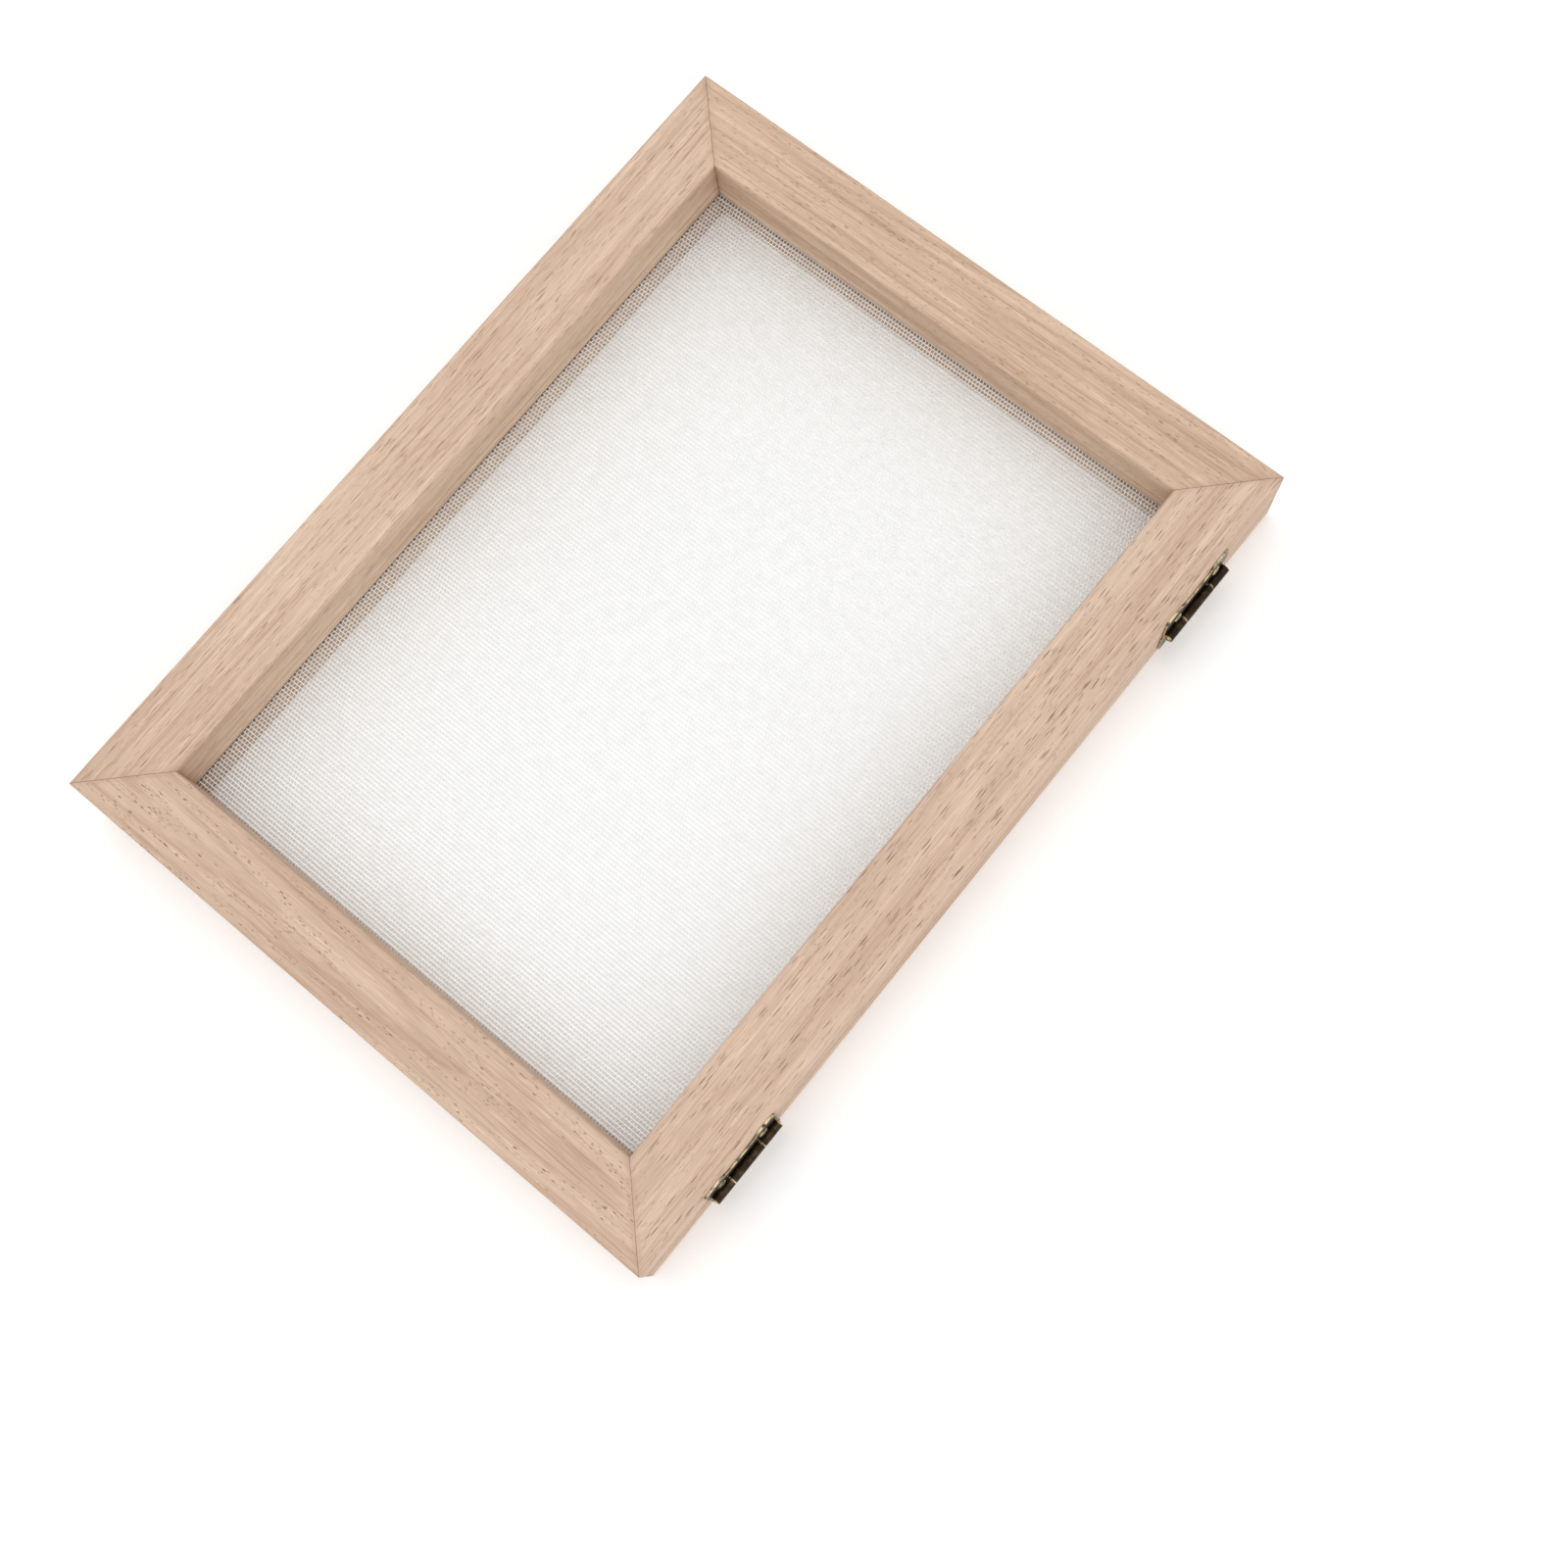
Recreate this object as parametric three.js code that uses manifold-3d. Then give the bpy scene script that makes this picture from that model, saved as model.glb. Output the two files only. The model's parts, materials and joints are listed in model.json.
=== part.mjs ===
// A hinged screen frame for papermaking: an upper frame folds on two small butt hinges over a lower
// frame, and a fine net is clamped inside the lower one.
//
// Millimetres, +Z up, standing on z = 0. The origin is the middle of the underside of the whole
// object's box, hinge barrels included. X runs along the long sides, and the hinges are on the -Y side.
import * as THREE from "three";
import { mergeVertices } from "three/addons/utils/BufferGeometryUtils.js";
import Module from "manifold-3d";

const wasm = await Module();
wasm.setup();

// ---------------------------------------------------------------------------------------------
// Driving dimensions
// ---------------------------------------------------------------------------------------------

// Both frames share one outline, and every rail shows a face of the same width.
const frameLength = 250;
const frameWidth = 189;
const railWidth = 19.5;

// The layers from the table up: lower rails, strips that clamp the screen, a hairline gap, upper rails.
const lowerRailHeight = 10;
const stripHeight = 3;
const seamGap = 0.2;
const upperRailHeight = 10.8;

// Wood finish: open glue line at each mitre, sanded arrises, and a rounder one under the screen.
const mitreGap = 0.1;
const arrisEase = 0.6;
const screenArrisEase = 1;

// The screen lies in a shallow seat cut into the lower rails, which leaves a land along their outer side.
const screenThickness = 0.5;
const screenTopClearance = 0.1;
const landWidth = 4;
const screenEdgeClearance = 0.5;

// Staples hold the stretched screen down in its seat.
const stapleCrown = 10;
const stapleWire = 0.6;
const stapleLeg = 6;
const stapleInset = 8;
const staplesOnLongRail = 3;
const staplesOnShortRail = 2;

// V-nails pull each mitre together from the underside of its frame.
const vNailInset = 12;
const vNailWing = 5;
const vNailSheet = 0.5;
const vNailHeight = 6;
const vNailSink = 0.5;

// Two equal butt hinges on the outside of the hinge-side rails.
const hingeInset = 36;
const barrelLength = 24;
const middleKnuckleLength = 11;
const knuckleRadius = 1.4;
const knuckleEndGap = 0.15;
const hingePinRadius = 0.7;
const hingePinProud = 0.3;
const leafLength = 25.6;
const leafReach = 10.6;
const leafWaist = 8.2;
const leafWaistLength = 7.5;
const leafLobeLength = 5.5;
const leafCorner = 2.2;
const leafThickness = 0.7;

// Round-headed nails through the leaves.
const nailSpacing = 15.5;
const nailRise = 5.5;
const nailShankRadius = 0.6;
const nailHeadRadius = 1.4;
const nailHeadHeight = 0.6;
const nailLength = 7;

// Clearances between pieces that fit together.
const cutClearance = 0.15;
const turningClearance = 0.1;

// How far a drill runs past the sheet that it goes through.
const drillOverrun = 0.3;

// Facets of round surfaces.
const knuckleFacets = 32;
const nailFacets = 20;
const domeSteps = 5;
const cornerSteps = 5;

// ---------------------------------------------------------------------------------------------
// Sizes that follow from them
// ---------------------------------------------------------------------------------------------

const seatHeight = lowerRailHeight - screenThickness - screenTopClearance;
const stripBottom = lowerRailHeight;
const stripTop = stripBottom + stripHeight;
const upperRailBottom = stripTop + seamGap;
const openingLength = frameLength - 2 * railWidth;
const openingWidth = frameWidth - 2 * railWidth;

const hingeAxisOut = knuckleRadius + turningClearance;
const hingeAxisHeight = stripTop + seamGap / 2;
const barrelProtrusion = hingeAxisOut + knuckleRadius;
const pinBoreRadius = hingePinRadius + turningClearance;
// The nearest that one leaf's plate comes to the other leaf's knuckles.
const leafCutBack = knuckleRadius + turningClearance + cutClearance;
const endKnuckleLength = (barrelLength - middleKnuckleLength) / 2 - knuckleEndGap;

const longRail = { outerLength: frameLength, outTo: frameWidth / 2, staples: staplesOnLongRail };
const shortRail = { outerLength: frameWidth, outTo: frameLength / 2, staples: staplesOnShortRail };
const sides = [
  { name: "hinge_side", turn: 0, ...longRail },
  { name: "right", turn: 1, ...shortRail },
  { name: "opening_side", turn: 2, ...longRail },
  { name: "left", turn: 3, ...shortRail },
];
const corners = [
  { name: "hinge_right", x: 1, y: -1, turn: 3 },
  { name: "opening_right", x: 1, y: 1, turn: 0 },
  { name: "opening_left", x: -1, y: 1, turn: 1 },
  { name: "hinge_left", x: -1, y: -1, turn: 2 },
];
const hinges = [
  { name: "hinge_left", x: -(frameLength / 2 - hingeInset) },
  { name: "hinge_right", x: frameLength / 2 - hingeInset },
];

// ---------------------------------------------------------------------------------------------
// Materials
// ---------------------------------------------------------------------------------------------

const upperWood = new THREE.MeshStandardMaterial({ color: 0xdcc3ab, roughness: 0.75, metalness: 0 });
const lowerWood = new THREE.MeshStandardMaterial({ color: 0xdec199, roughness: 0.75, metalness: 0 });
const stripWood = new THREE.MeshStandardMaterial({ color: 0xe5cba8, roughness: 0.75, metalness: 0 });
const screenNylon = new THREE.MeshStandardMaterial({ color: 0xf2f1ee, roughness: 0.45, metalness: 0 });
const bronze = new THREE.MeshStandardMaterial({ color: 0x40361f, roughness: 0.4, metalness: 0.9 });
const steel = new THREE.MeshStandardMaterial({ color: 0xa9abad, roughness: 0.35, metalness: 1 });

// ---------------------------------------------------------------------------------------------
// Solids
// ---------------------------------------------------------------------------------------------

// A closed geometry as a manifold solid, and back.
function toSolid(geometry) {
  const bare = geometry.clone();
  bare.deleteAttribute("normal");
  bare.deleteAttribute("uv");
  const merged = mergeVertices(bare);
  const vertProperties = merged.attributes.position.array;
  const triVerts = new Uint32Array(merged.index.array);
  return new wasm.Manifold(new wasm.Mesh({ numProp: 3, vertProperties, triVerts }));
}

function toGeometry(solid) {
  const mesh = solid.getMesh();
  const geometry = new THREE.BufferGeometry();
  geometry.setAttribute("position", new THREE.BufferAttribute(mesh.vertProperties, 3));
  geometry.setIndex(new THREE.BufferAttribute(mesh.triVerts, 1));
  geometry.computeVertexNormals();
  return geometry;
}

function cut(geometry, cutters) {
  let solid = toSolid(geometry);
  for (const cutter of cutters) {
    solid = solid.subtract(toSolid(cutter));
  }
  return toGeometry(solid);
}

function join(geometries) {
  return toGeometry(geometries.map(toSolid).reduce((whole, piece) => whole.add(piece)));
}

function box(sizeX, sizeY, sizeZ, x, y, z) {
  return new THREE.BoxGeometry(sizeX, sizeY, sizeZ).translate(x, y, z);
}

// A cylinder along X, from its middle.
function rodAlongX(radius, length, facets) {
  return new THREE.CylinderGeometry(radius, radius, length, facets).rotateZ(Math.PI / 2);
}

// A cylinder along Y that starts at y = 0 and runs to +Y.
function drillAlongY(radius, length, facets) {
  return new THREE.CylinderGeometry(radius, radius, length, facets).translate(0, length / 2, 0);
}

function extrude(outline, depth) {
  return new THREE.ExtrudeGeometry(outline, { depth, bevelEnabled: false, curveSegments: cornerSteps });
}

function outlineOf(points) {
  return new THREE.Shape(points.map(([x, y]) => new THREE.Vector2(x, y)));
}

// ---------------------------------------------------------------------------------------------
// Rails
// ---------------------------------------------------------------------------------------------

// A rail along X with its outer face at y = 0 and its body towards +Y. The section's points are the
// distance in from the outer face and the height. Both ends are mitred at 45 degrees.
function mitredRail(outerLength, section) {
  const geometry = extrude(outlineOf(section), 1);
  const position = geometry.getAttribute("position");
  for (let i = 0; i < position.count; i++) {
    const inward = position.getX(i);
    const height = position.getY(i);
    const end = position.getZ(i) * 2 - 1;
    const halfLength = outerLength / 2 - inward - mitreGap / Math.SQRT2;
    position.setXYZ(i, end * halfLength, inward, height);
  }
  return geometry;
}

function lowerRailSection() {
  const seatEdge = landWidth - screenEdgeClearance;
  return [
    [arrisEase, 0],
    [railWidth - arrisEase, 0],
    [railWidth, arrisEase],
    [railWidth, seatHeight - screenArrisEase],
    [railWidth - screenArrisEase, seatHeight],
    [seatEdge, seatHeight],
    [seatEdge, lowerRailHeight],
    [0, lowerRailHeight],
    [0, arrisEase],
  ];
}

function stripSection() {
  return [
    [0, stripBottom],
    [railWidth, stripBottom],
    [railWidth, stripTop - arrisEase],
    [railWidth - arrisEase, stripTop],
    [arrisEase, stripTop],
    [0, stripTop - arrisEase],
  ];
}

function upperRailSection() {
  const top = upperRailBottom + upperRailHeight;
  return [
    [arrisEase, upperRailBottom],
    [railWidth - arrisEase, upperRailBottom],
    [railWidth, upperRailBottom + arrisEase],
    [railWidth, top - arrisEase],
    [railWidth - arrisEase, top],
    [arrisEase, top],
    [0, top - arrisEase],
    [0, upperRailBottom + arrisEase],
  ];
}

// Places of a rail's staples along it, spread evenly over the opening.
function staplePlaces(side) {
  const span = side.outerLength - 2 * railWidth;
  return Array.from({ length: side.staples }, (_, i) => span * ((i + 0.5) / side.staples - 0.5));
}

// ---------------------------------------------------------------------------------------------
// Staples: a U of square wire along X, its crown on the screen and its legs down in the rail
// ---------------------------------------------------------------------------------------------

const crownUnderside = seatHeight + screenThickness;
const stapleTop = crownUnderside + stapleWire;
const stapleFoot = stapleTop - stapleLeg;

function staple() {
  const outer = stapleCrown / 2;
  const inner = outer - stapleWire;
  const outline = outlineOf([
    [-outer, stapleFoot],
    [-inner, stapleFoot],
    [-inner, crownUnderside],
    [inner, crownUnderside],
    [inner, stapleFoot],
    [outer, stapleFoot],
    [outer, stapleTop],
    [-outer, stapleTop],
  ]);
  return extrude(outline, stapleWire).rotateX(Math.PI / 2).translate(0, stapleWire / 2, 0);
}

// Distance of a staple in from the outer face of its rail.
const stapleInward = railWidth - stapleInset;

// The holes for the legs, in a side's own frame: they go through the screen and down into the rail.
function stapleLegHoles(side) {
  const hole = stapleWire + 2 * cutClearance;
  const bottom = stapleFoot - cutClearance;
  const depth = stapleTop - bottom;
  const legAt = (stapleCrown - stapleWire) / 2;
  return staplePlaces(side).flatMap((along) =>
    [-legAt, legAt].map((leg) => box(hole, hole, depth, along + leg, stapleInward, bottom + depth / 2)),
  );
}

// The recesses in a strip's underside that clear the crowns, in a side's own frame.
function stapleCrownRecesses(side) {
  const length = stapleCrown + 2 * cutClearance;
  const width = stapleWire + 2 * cutClearance;
  const depth = 2 * (stapleTop + cutClearance - stripBottom);
  return staplePlaces(side).map((along) => box(length, width, depth, along, stapleInward, stripBottom));
}

// ---------------------------------------------------------------------------------------------
// V-nails: two wings at a right angle whose shared edge lies on the mitre
// ---------------------------------------------------------------------------------------------

// Wings run along +X and +Y. The clearance grows the outline all round.
function vNail(clearance, height) {
  const near = -clearance;
  const back = vNailSheet + clearance;
  const far = vNailWing + clearance;
  const outline = outlineOf([
    [near, near],
    [far, near],
    [far, back],
    [back, back],
    [back, far],
    [near, far],
  ]);
  return extrude(outline, height);
}

// The slots for both V-nails of a rail, open at its underside, in the rail's own frame.
function vNailCutters(outerLength, underside) {
  const height = vNailSink + vNailHeight + cutClearance;
  const along = outerLength / 2 - vNailInset;
  const slot = () => vNail(cutClearance, height).translate(0, 0, underside);
  return [
    slot().rotateZ(-Math.PI / 2).translate(along, vNailInset, 0),
    slot().rotateZ(Math.PI).translate(-along, vNailInset, 0),
  ];
}

// ---------------------------------------------------------------------------------------------
// Hinges: in a hinge's own frame X runs along the pin, y = 0 is the wood's face and z = 0 the pin
// ---------------------------------------------------------------------------------------------

// The outline of a leaf above the pin: a low waist between two rounded lobes, and a tongue down to
// the pin at each of its own knuckles.
function leafOutline(tongues) {
  const end = leafLength / 2;
  const waistEnd = leafWaistLength / 2;
  const lobeStart = end - leafLobeLength;
  const outline = new THREE.Shape();
  outline.moveTo(-end, leafCutBack);
  for (const [from, to] of tongues) {
    outline.lineTo(from, leafCutBack);
    outline.lineTo(from, 0);
    outline.lineTo(to, 0);
    outline.lineTo(to, leafCutBack);
  }
  outline.lineTo(end, leafCutBack);
  outline.lineTo(end, leafReach - leafCorner);
  outline.quadraticCurveTo(end, leafReach, end - leafCorner, leafReach);
  outline.lineTo(lobeStart, leafReach);
  const halfway = (waistEnd + lobeStart) / 2;
  outline.bezierCurveTo(halfway, leafReach, halfway, leafWaist, waistEnd, leafWaist);
  outline.lineTo(-waistEnd, leafWaist);
  outline.bezierCurveTo(-halfway, leafWaist, -halfway, leafReach, -lobeStart, leafReach);
  outline.lineTo(-end + leafCorner, leafReach);
  outline.quadraticCurveTo(-end, leafReach, -end, leafReach - leafCorner);
  return outline;
}

// A leaf that stands up from the pin, with a knuckle on each stretch of the pin in the list.
function leaf(knuckles) {
  const plate = extrude(leafOutline(knuckles), leafThickness).rotateX(Math.PI / 2);
  const rolls = knuckles.map(([from, to]) =>
    rodAlongX(knuckleRadius, to - from, knuckleFacets).translate((from + to) / 2, -hingeAxisOut, 0),
  );
  const bore = rodAlongX(pinBoreRadius, 2 * barrelLength, knuckleFacets).translate(0, -hingeAxisOut, 0);
  // The drill starts and ends clear of the plate.
  const drillStart = -leafThickness - drillOverrun;
  const drillLength = leafThickness + 2 * drillOverrun;
  const holes = [-1, 1].map((way) => {
    const drill = drillAlongY(nailShankRadius + cutClearance, drillLength, nailFacets);
    return drill.translate((way * nailSpacing) / 2, drillStart, nailRise);
  });
  return cut(join([plate, ...rolls]), [bore, ...holes]);
}

function upperLeaf() {
  return leaf([[-middleKnuckleLength / 2, middleKnuckleLength / 2]]);
}

// The lower leaf is shaped like the upper one turned over the pin.
function lowerLeaf() {
  const end = barrelLength / 2;
  const turnedOver = leaf([
    [-end, -end + endKnuckleLength],
    [end - endKnuckleLength, end],
  ]);
  return turnedOver.rotateY(Math.PI);
}

function hingePin() {
  const halfLength = barrelLength / 2 + hingePinProud;
  const profile = [new THREE.Vector2(0, -halfLength)];
  profile.push(new THREE.Vector2(hingePinRadius - hingePinProud, -halfLength));
  profile.push(new THREE.Vector2(hingePinRadius, -halfLength + hingePinProud));
  profile.push(new THREE.Vector2(hingePinRadius, halfLength - hingePinProud));
  profile.push(new THREE.Vector2(hingePinRadius - hingePinProud, halfLength));
  profile.push(new THREE.Vector2(0, halfLength));
  return new THREE.LatheGeometry(profile, nailFacets).rotateZ(Math.PI / 2);
}

// A nail driven towards +Y, with the underside of its domed head at y = 0.
function hingeNail() {
  const pointLength = 2 * nailShankRadius;
  const profile = [];
  for (let i = 0; i <= domeSteps; i++) {
    const angle = (i / domeSteps) * (Math.PI / 2);
    profile.push(new THREE.Vector2(nailHeadRadius * Math.sin(angle), -nailHeadHeight * Math.cos(angle)));
  }
  profile.push(new THREE.Vector2(nailShankRadius, 0));
  profile.push(new THREE.Vector2(nailShankRadius, nailLength - pointLength));
  profile.push(new THREE.Vector2(0, nailLength));
  return new THREE.LatheGeometry(profile, nailFacets);
}

// The nail holes in a hinge-side rail, at one height, in the rail's own frame.
function nailHoleCutters(height) {
  const cutters = [];
  for (const hinge of hinges) {
    for (const way of [-1, 1]) {
      const hole = drillAlongY(nailShankRadius + cutClearance, nailLength + cutClearance, nailFacets);
      // The drill starts outside the face by the leaf's thickness, as the nail does.
      cutters.push(hole.translate(hinge.x + (way * nailSpacing) / 2, -leafThickness, height));
    }
  }
  return cutters;
}

// ---------------------------------------------------------------------------------------------
// Assembly
// ---------------------------------------------------------------------------------------------

const assembly = new THREE.Group();
// The hinge barrels stand out on one side only, and the box that holds them is centred.
assembly.position.y = barrelProtrusion / 2;

function addPiece(parent, name, geometry, material) {
  const piece = new THREE.Mesh(geometry, material);
  piece.name = name;
  parent.add(piece);
  return piece;
}

// One group for each side of the frame: in it a rail runs along X with its outer face at y = 0.
for (const side of sides) {
  const place = new THREE.Group();
  place.rotation.z = (side.turn * Math.PI) / 2;
  place.position.set(0, -side.outTo, 0).applyAxisAngle(new THREE.Vector3(0, 0, 1), place.rotation.z);
  assembly.add(place);

  const holdsHinges = side.name === "hinge_side";
  const lowerNailHoles = holdsHinges ? nailHoleCutters(hingeAxisHeight - nailRise) : [];
  const upperNailHoles = holdsHinges ? nailHoleCutters(hingeAxisHeight + nailRise) : [];

  const lowerRail = cut(mitredRail(side.outerLength, lowerRailSection()), [
    ...vNailCutters(side.outerLength, 0),
    ...stapleLegHoles(side),
    ...lowerNailHoles,
  ]);
  addPiece(place, "lower_rail_" + side.name, lowerRail, lowerWood);

  const strip = cut(mitredRail(side.outerLength, stripSection()), stapleCrownRecesses(side));
  addPiece(place, "screen_strip_" + side.name, strip, stripWood);

  const upperRail = cut(mitredRail(side.outerLength, upperRailSection()), [
    ...vNailCutters(side.outerLength, upperRailBottom),
    ...upperNailHoles,
  ]);
  addPiece(place, "upper_rail_" + side.name, upperRail, upperWood);

  staplePlaces(side).forEach((along, i) => {
    const wire = addPiece(place, "screen_staple_" + side.name + "_" + (i + 1), staple(), steel);
    wire.position.set(along, stapleInward, 0);
  });
}

// The screen reaches over the rails to the land, with holes where the staples' legs go through.
function meshScreen() {
  const overRails = 2 * (railWidth - landWidth);
  const middle = seatHeight + screenThickness / 2;
  const sheet = box(openingLength + overRails, openingWidth + overRails, screenThickness, 0, 0, middle);
  const holes = sides.flatMap((side) =>
    stapleLegHoles(side).map((hole) => hole.translate(0, -side.outTo, 0).rotateZ((side.turn * Math.PI) / 2)),
  );
  return cut(sheet, holes);
}

addPiece(assembly, "mesh_screen", meshScreen(), screenNylon);

const undersides = [["lower", 0], ["upper", upperRailBottom]];
for (const [frame, underside] of undersides) {
  for (const corner of corners) {
    const nail = addPiece(assembly, "v_nail_" + frame + "_" + corner.name, vNail(0, vNailHeight), steel);
    nail.rotation.z = (corner.turn * Math.PI) / 2;
    const x = corner.x * (frameLength / 2 - vNailInset);
    const y = corner.y * (frameWidth / 2 - vNailInset);
    nail.position.set(x, y, underside + vNailSink);
  }
}

for (const hinge of hinges) {
  const place = new THREE.Group();
  place.position.set(hinge.x, -frameWidth / 2, hingeAxisHeight);
  assembly.add(place);
  addPiece(place, hinge.name + "_upper_leaf", upperLeaf(), bronze);
  addPiece(place, hinge.name + "_lower_leaf", lowerLeaf(), bronze);
  addPiece(place, hinge.name + "_pin", hingePin(), bronze).position.y = -hingeAxisOut;
  for (const [leafName, rise] of [["upper", nailRise], ["lower", -nailRise]]) {
    for (const [sideName, way] of [["left", -1], ["right", 1]]) {
      const name = [hinge.name, leafName, "nail", sideName].join("_");
      const nail = addPiece(place, name, hingeNail(), bronze);
      nail.position.set((way * nailSpacing) / 2, -leafThickness, rise);
    }
  }
}

export default assembly;
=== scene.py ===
"""A hinged screen frame for papermaking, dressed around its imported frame.

Two mitred frames of bare wood fold on small bronzed hinges, and a knitted net is clamped inside the
lower one. Each class below is one sub-assembly or one finish. Lengths are metres unless a name ends
in _mm, +Z is up, X runs along the long rails and the hinges are on the -Y side.
"""

from __future__ import annotations

import json
import logging
import math
from dataclasses import dataclass, fields
from enum import Enum

import bmesh
import bpy
from bpy.types import Material, Mesh, Modifier, Node, NodeInputs, NodeSocket, NodeTree, Object
from mathutils import Matrix, Quaternion, Vector, noise


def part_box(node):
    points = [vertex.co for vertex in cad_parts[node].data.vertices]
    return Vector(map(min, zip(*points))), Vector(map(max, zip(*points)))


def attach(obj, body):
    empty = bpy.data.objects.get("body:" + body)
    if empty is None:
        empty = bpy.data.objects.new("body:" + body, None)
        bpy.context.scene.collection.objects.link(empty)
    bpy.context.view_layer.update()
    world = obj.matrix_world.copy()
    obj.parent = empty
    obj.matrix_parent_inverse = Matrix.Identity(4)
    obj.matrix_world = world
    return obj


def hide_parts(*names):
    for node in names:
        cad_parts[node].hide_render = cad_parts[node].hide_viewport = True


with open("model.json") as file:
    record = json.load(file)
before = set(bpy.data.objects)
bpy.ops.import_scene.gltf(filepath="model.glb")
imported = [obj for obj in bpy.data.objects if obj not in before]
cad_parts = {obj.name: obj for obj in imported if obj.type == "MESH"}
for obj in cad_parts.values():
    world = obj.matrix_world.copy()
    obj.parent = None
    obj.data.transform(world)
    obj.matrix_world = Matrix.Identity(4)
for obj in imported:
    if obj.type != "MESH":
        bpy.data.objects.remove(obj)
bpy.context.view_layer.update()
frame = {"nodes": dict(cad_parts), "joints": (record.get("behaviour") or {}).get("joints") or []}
MM = 0.001
NOISE_SEED = 7

log = logging.getLogger("screen_frame")

Colour = tuple[float, float, float]


def srgb(red: int, green: int, blue: int) -> Colour:
    """Gives a display colour, 0 to 255 a channel, as linear light."""
    shares = (channel / 255 for channel in (red, green, blue))
    return tuple(s / 12.92 if s <= 0.04045 else ((s + 0.055) / 1.055) ** 2.4 for s in shares)


# ---------------------------------------------------------------------------------------------
# Named choices
# ---------------------------------------------------------------------------------------------


class Side(Enum):
    """A side of the frame: its name in the node names, and its quarter turns from the hinge side."""

    HINGE_SIDE = ("hinge_side", 0)
    RIGHT = ("right", 1)
    OPENING_SIDE = ("opening_side", 2)
    LEFT = ("left", 3)

    def __init__(self, label: str, quarter_turns: int) -> None:
        """Keeps the label and the turn in radians."""
        self.label = label
        self.turn = quarter_turns * math.pi / 2


class Layer(Enum):
    """A layer of rails: the start of its node names, its body and its material slot."""

    LOWER_RAIL = ("lower_rail", "lower_frame", "lower_rail_wood")
    STRIP = ("screen_strip", "lower_frame", "strip_wood")
    UPPER_RAIL = ("upper_rail", "upper_frame", "upper_rail_wood")

    def __init__(self, prefix: str, body: str, slot: str) -> None:
        """Keeps the three names."""
        self.prefix = prefix
        self.body = body
        self.slot = slot


class LeafKind(Enum):
    """A hinge leaf: its name, its body, and the way it stands from the pin along Z."""

    UPPER = ("upper", "upper_frame", 1)
    LOWER = ("lower", "lower_frame", -1)

    def __init__(self, label: str, body: str, way: int) -> None:
        """Keeps the name, the body and the way."""
        self.label = label
        self.body = body
        self.way = way


# ---------------------------------------------------------------------------------------------
# Node trees
# ---------------------------------------------------------------------------------------------


class Wiring:
    """Adds and links the nodes of one tree."""

    def __init__(self, tree: NodeTree) -> None:
        """Keeps the tree."""
        self.tree = tree

    def add(self, kind: str, feeds: dict | None = None, **settings: object) -> Node:
        """Adds a node.

        Args:
            kind: The node's type.
            feeds: What each input gets, by its name or number: a socket to link or a plain value.
            settings: The node's own properties.

        Returns:
            The new node.
        """
        node = self.tree.nodes.new(kind)
        for name, value in settings.items():
            setattr(node, name, value)
        for key, value in (feeds or {}).items():
            if isinstance(value, NodeSocket):
                self.tree.links.new(value, node.inputs[key])
            else:
                node.inputs[key].default_value = value
        return node

    def math(self, operation: str, *values: object, clamp: bool = False) -> NodeSocket:
        """Works out a number from one to three numbers."""
        feeds = dict(enumerate(values))
        return self.add("ShaderNodeMath", feeds, operation=operation, use_clamp=clamp).outputs[0]

    def times(self, *values: object, clamp: bool = False) -> NodeSocket:
        """Multiplies two numbers."""
        return self.math("MULTIPLY", *values, clamp=clamp)

    def plus(self, *values: object, clamp: bool = False) -> NodeSocket:
        """Adds two numbers."""
        return self.math("ADD", *values, clamp=clamp)

    def minus(self, *values: object) -> NodeSocket:
        """Takes the second number from the first."""
        return self.math("SUBTRACT", *values)

    def vector(self, operation: str, *values: object) -> NodeSocket:
        """Works out a vector from one or two vectors."""
        feeds = dict(enumerate(values))
        return self.add("ShaderNodeVectorMath", feeds, operation=operation).outputs[0]

    def combine(self, x: object = 0.0, y: object = 0.0, z: object = 0.0) -> NodeSocket:
        """Makes a vector of three numbers."""
        return self.add("ShaderNodeCombineXYZ", {0: x, 1: y, 2: z}).outputs[0]

    def thrice(self, value: object) -> NodeSocket:
        """Makes a vector of one number three times."""
        return self.combine(value, value, value)

    def separate(self, vector: NodeSocket) -> list[NodeSocket]:
        """Splits a vector into its three numbers."""
        return list(self.add("ShaderNodeSeparateXYZ", {0: vector}).outputs)

    def noise(self, vector: object, detail: float = 2.0, roughness: float = 0.5) -> Node:
        """Adds a noise of unit scale, whose outputs are a number and a colour."""
        feeds = {"Vector": vector, "Scale": 1.0, "Detail": detail, "Roughness": roughness}
        return self.add("ShaderNodeTexNoise", feeds)

    def fade(self, value: object, start: object, end: object) -> NodeSocket:
        """Goes smoothly from 0 where the value is start to 1 where it is end."""
        feeds = {"Value": value, "From Min": start, "From Max": end, "To Min": 0.0, "To Max": 1.0}
        node = self.add("ShaderNodeMapRange", feeds, interpolation_type="SMOOTHSTEP")
        return node.outputs["Result"]

    def spread(self, value: object, low: object, high: object) -> NodeSocket:
        """Takes a value from 0 to 1 to a value from low to high."""
        feeds = {"Value": value, "To Min": low, "To Max": high}
        return self.add("ShaderNodeMapRange", feeds).outputs["Result"]

    def mix(self, share: object, first: object, second: object, blend: str = "MIX") -> NodeSocket:
        """Mixes two colours, where a share of 1 is all of the second."""
        feeds = {0: share, 6: first, 7: second}
        return self.add("ShaderNodeMix", feeds, data_type="RGBA", blend_type=blend).outputs[2]


@dataclass(frozen=True)
class Socket:
    """A named input or output of a group."""

    name: str
    kind: str
    value: object = None


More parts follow.
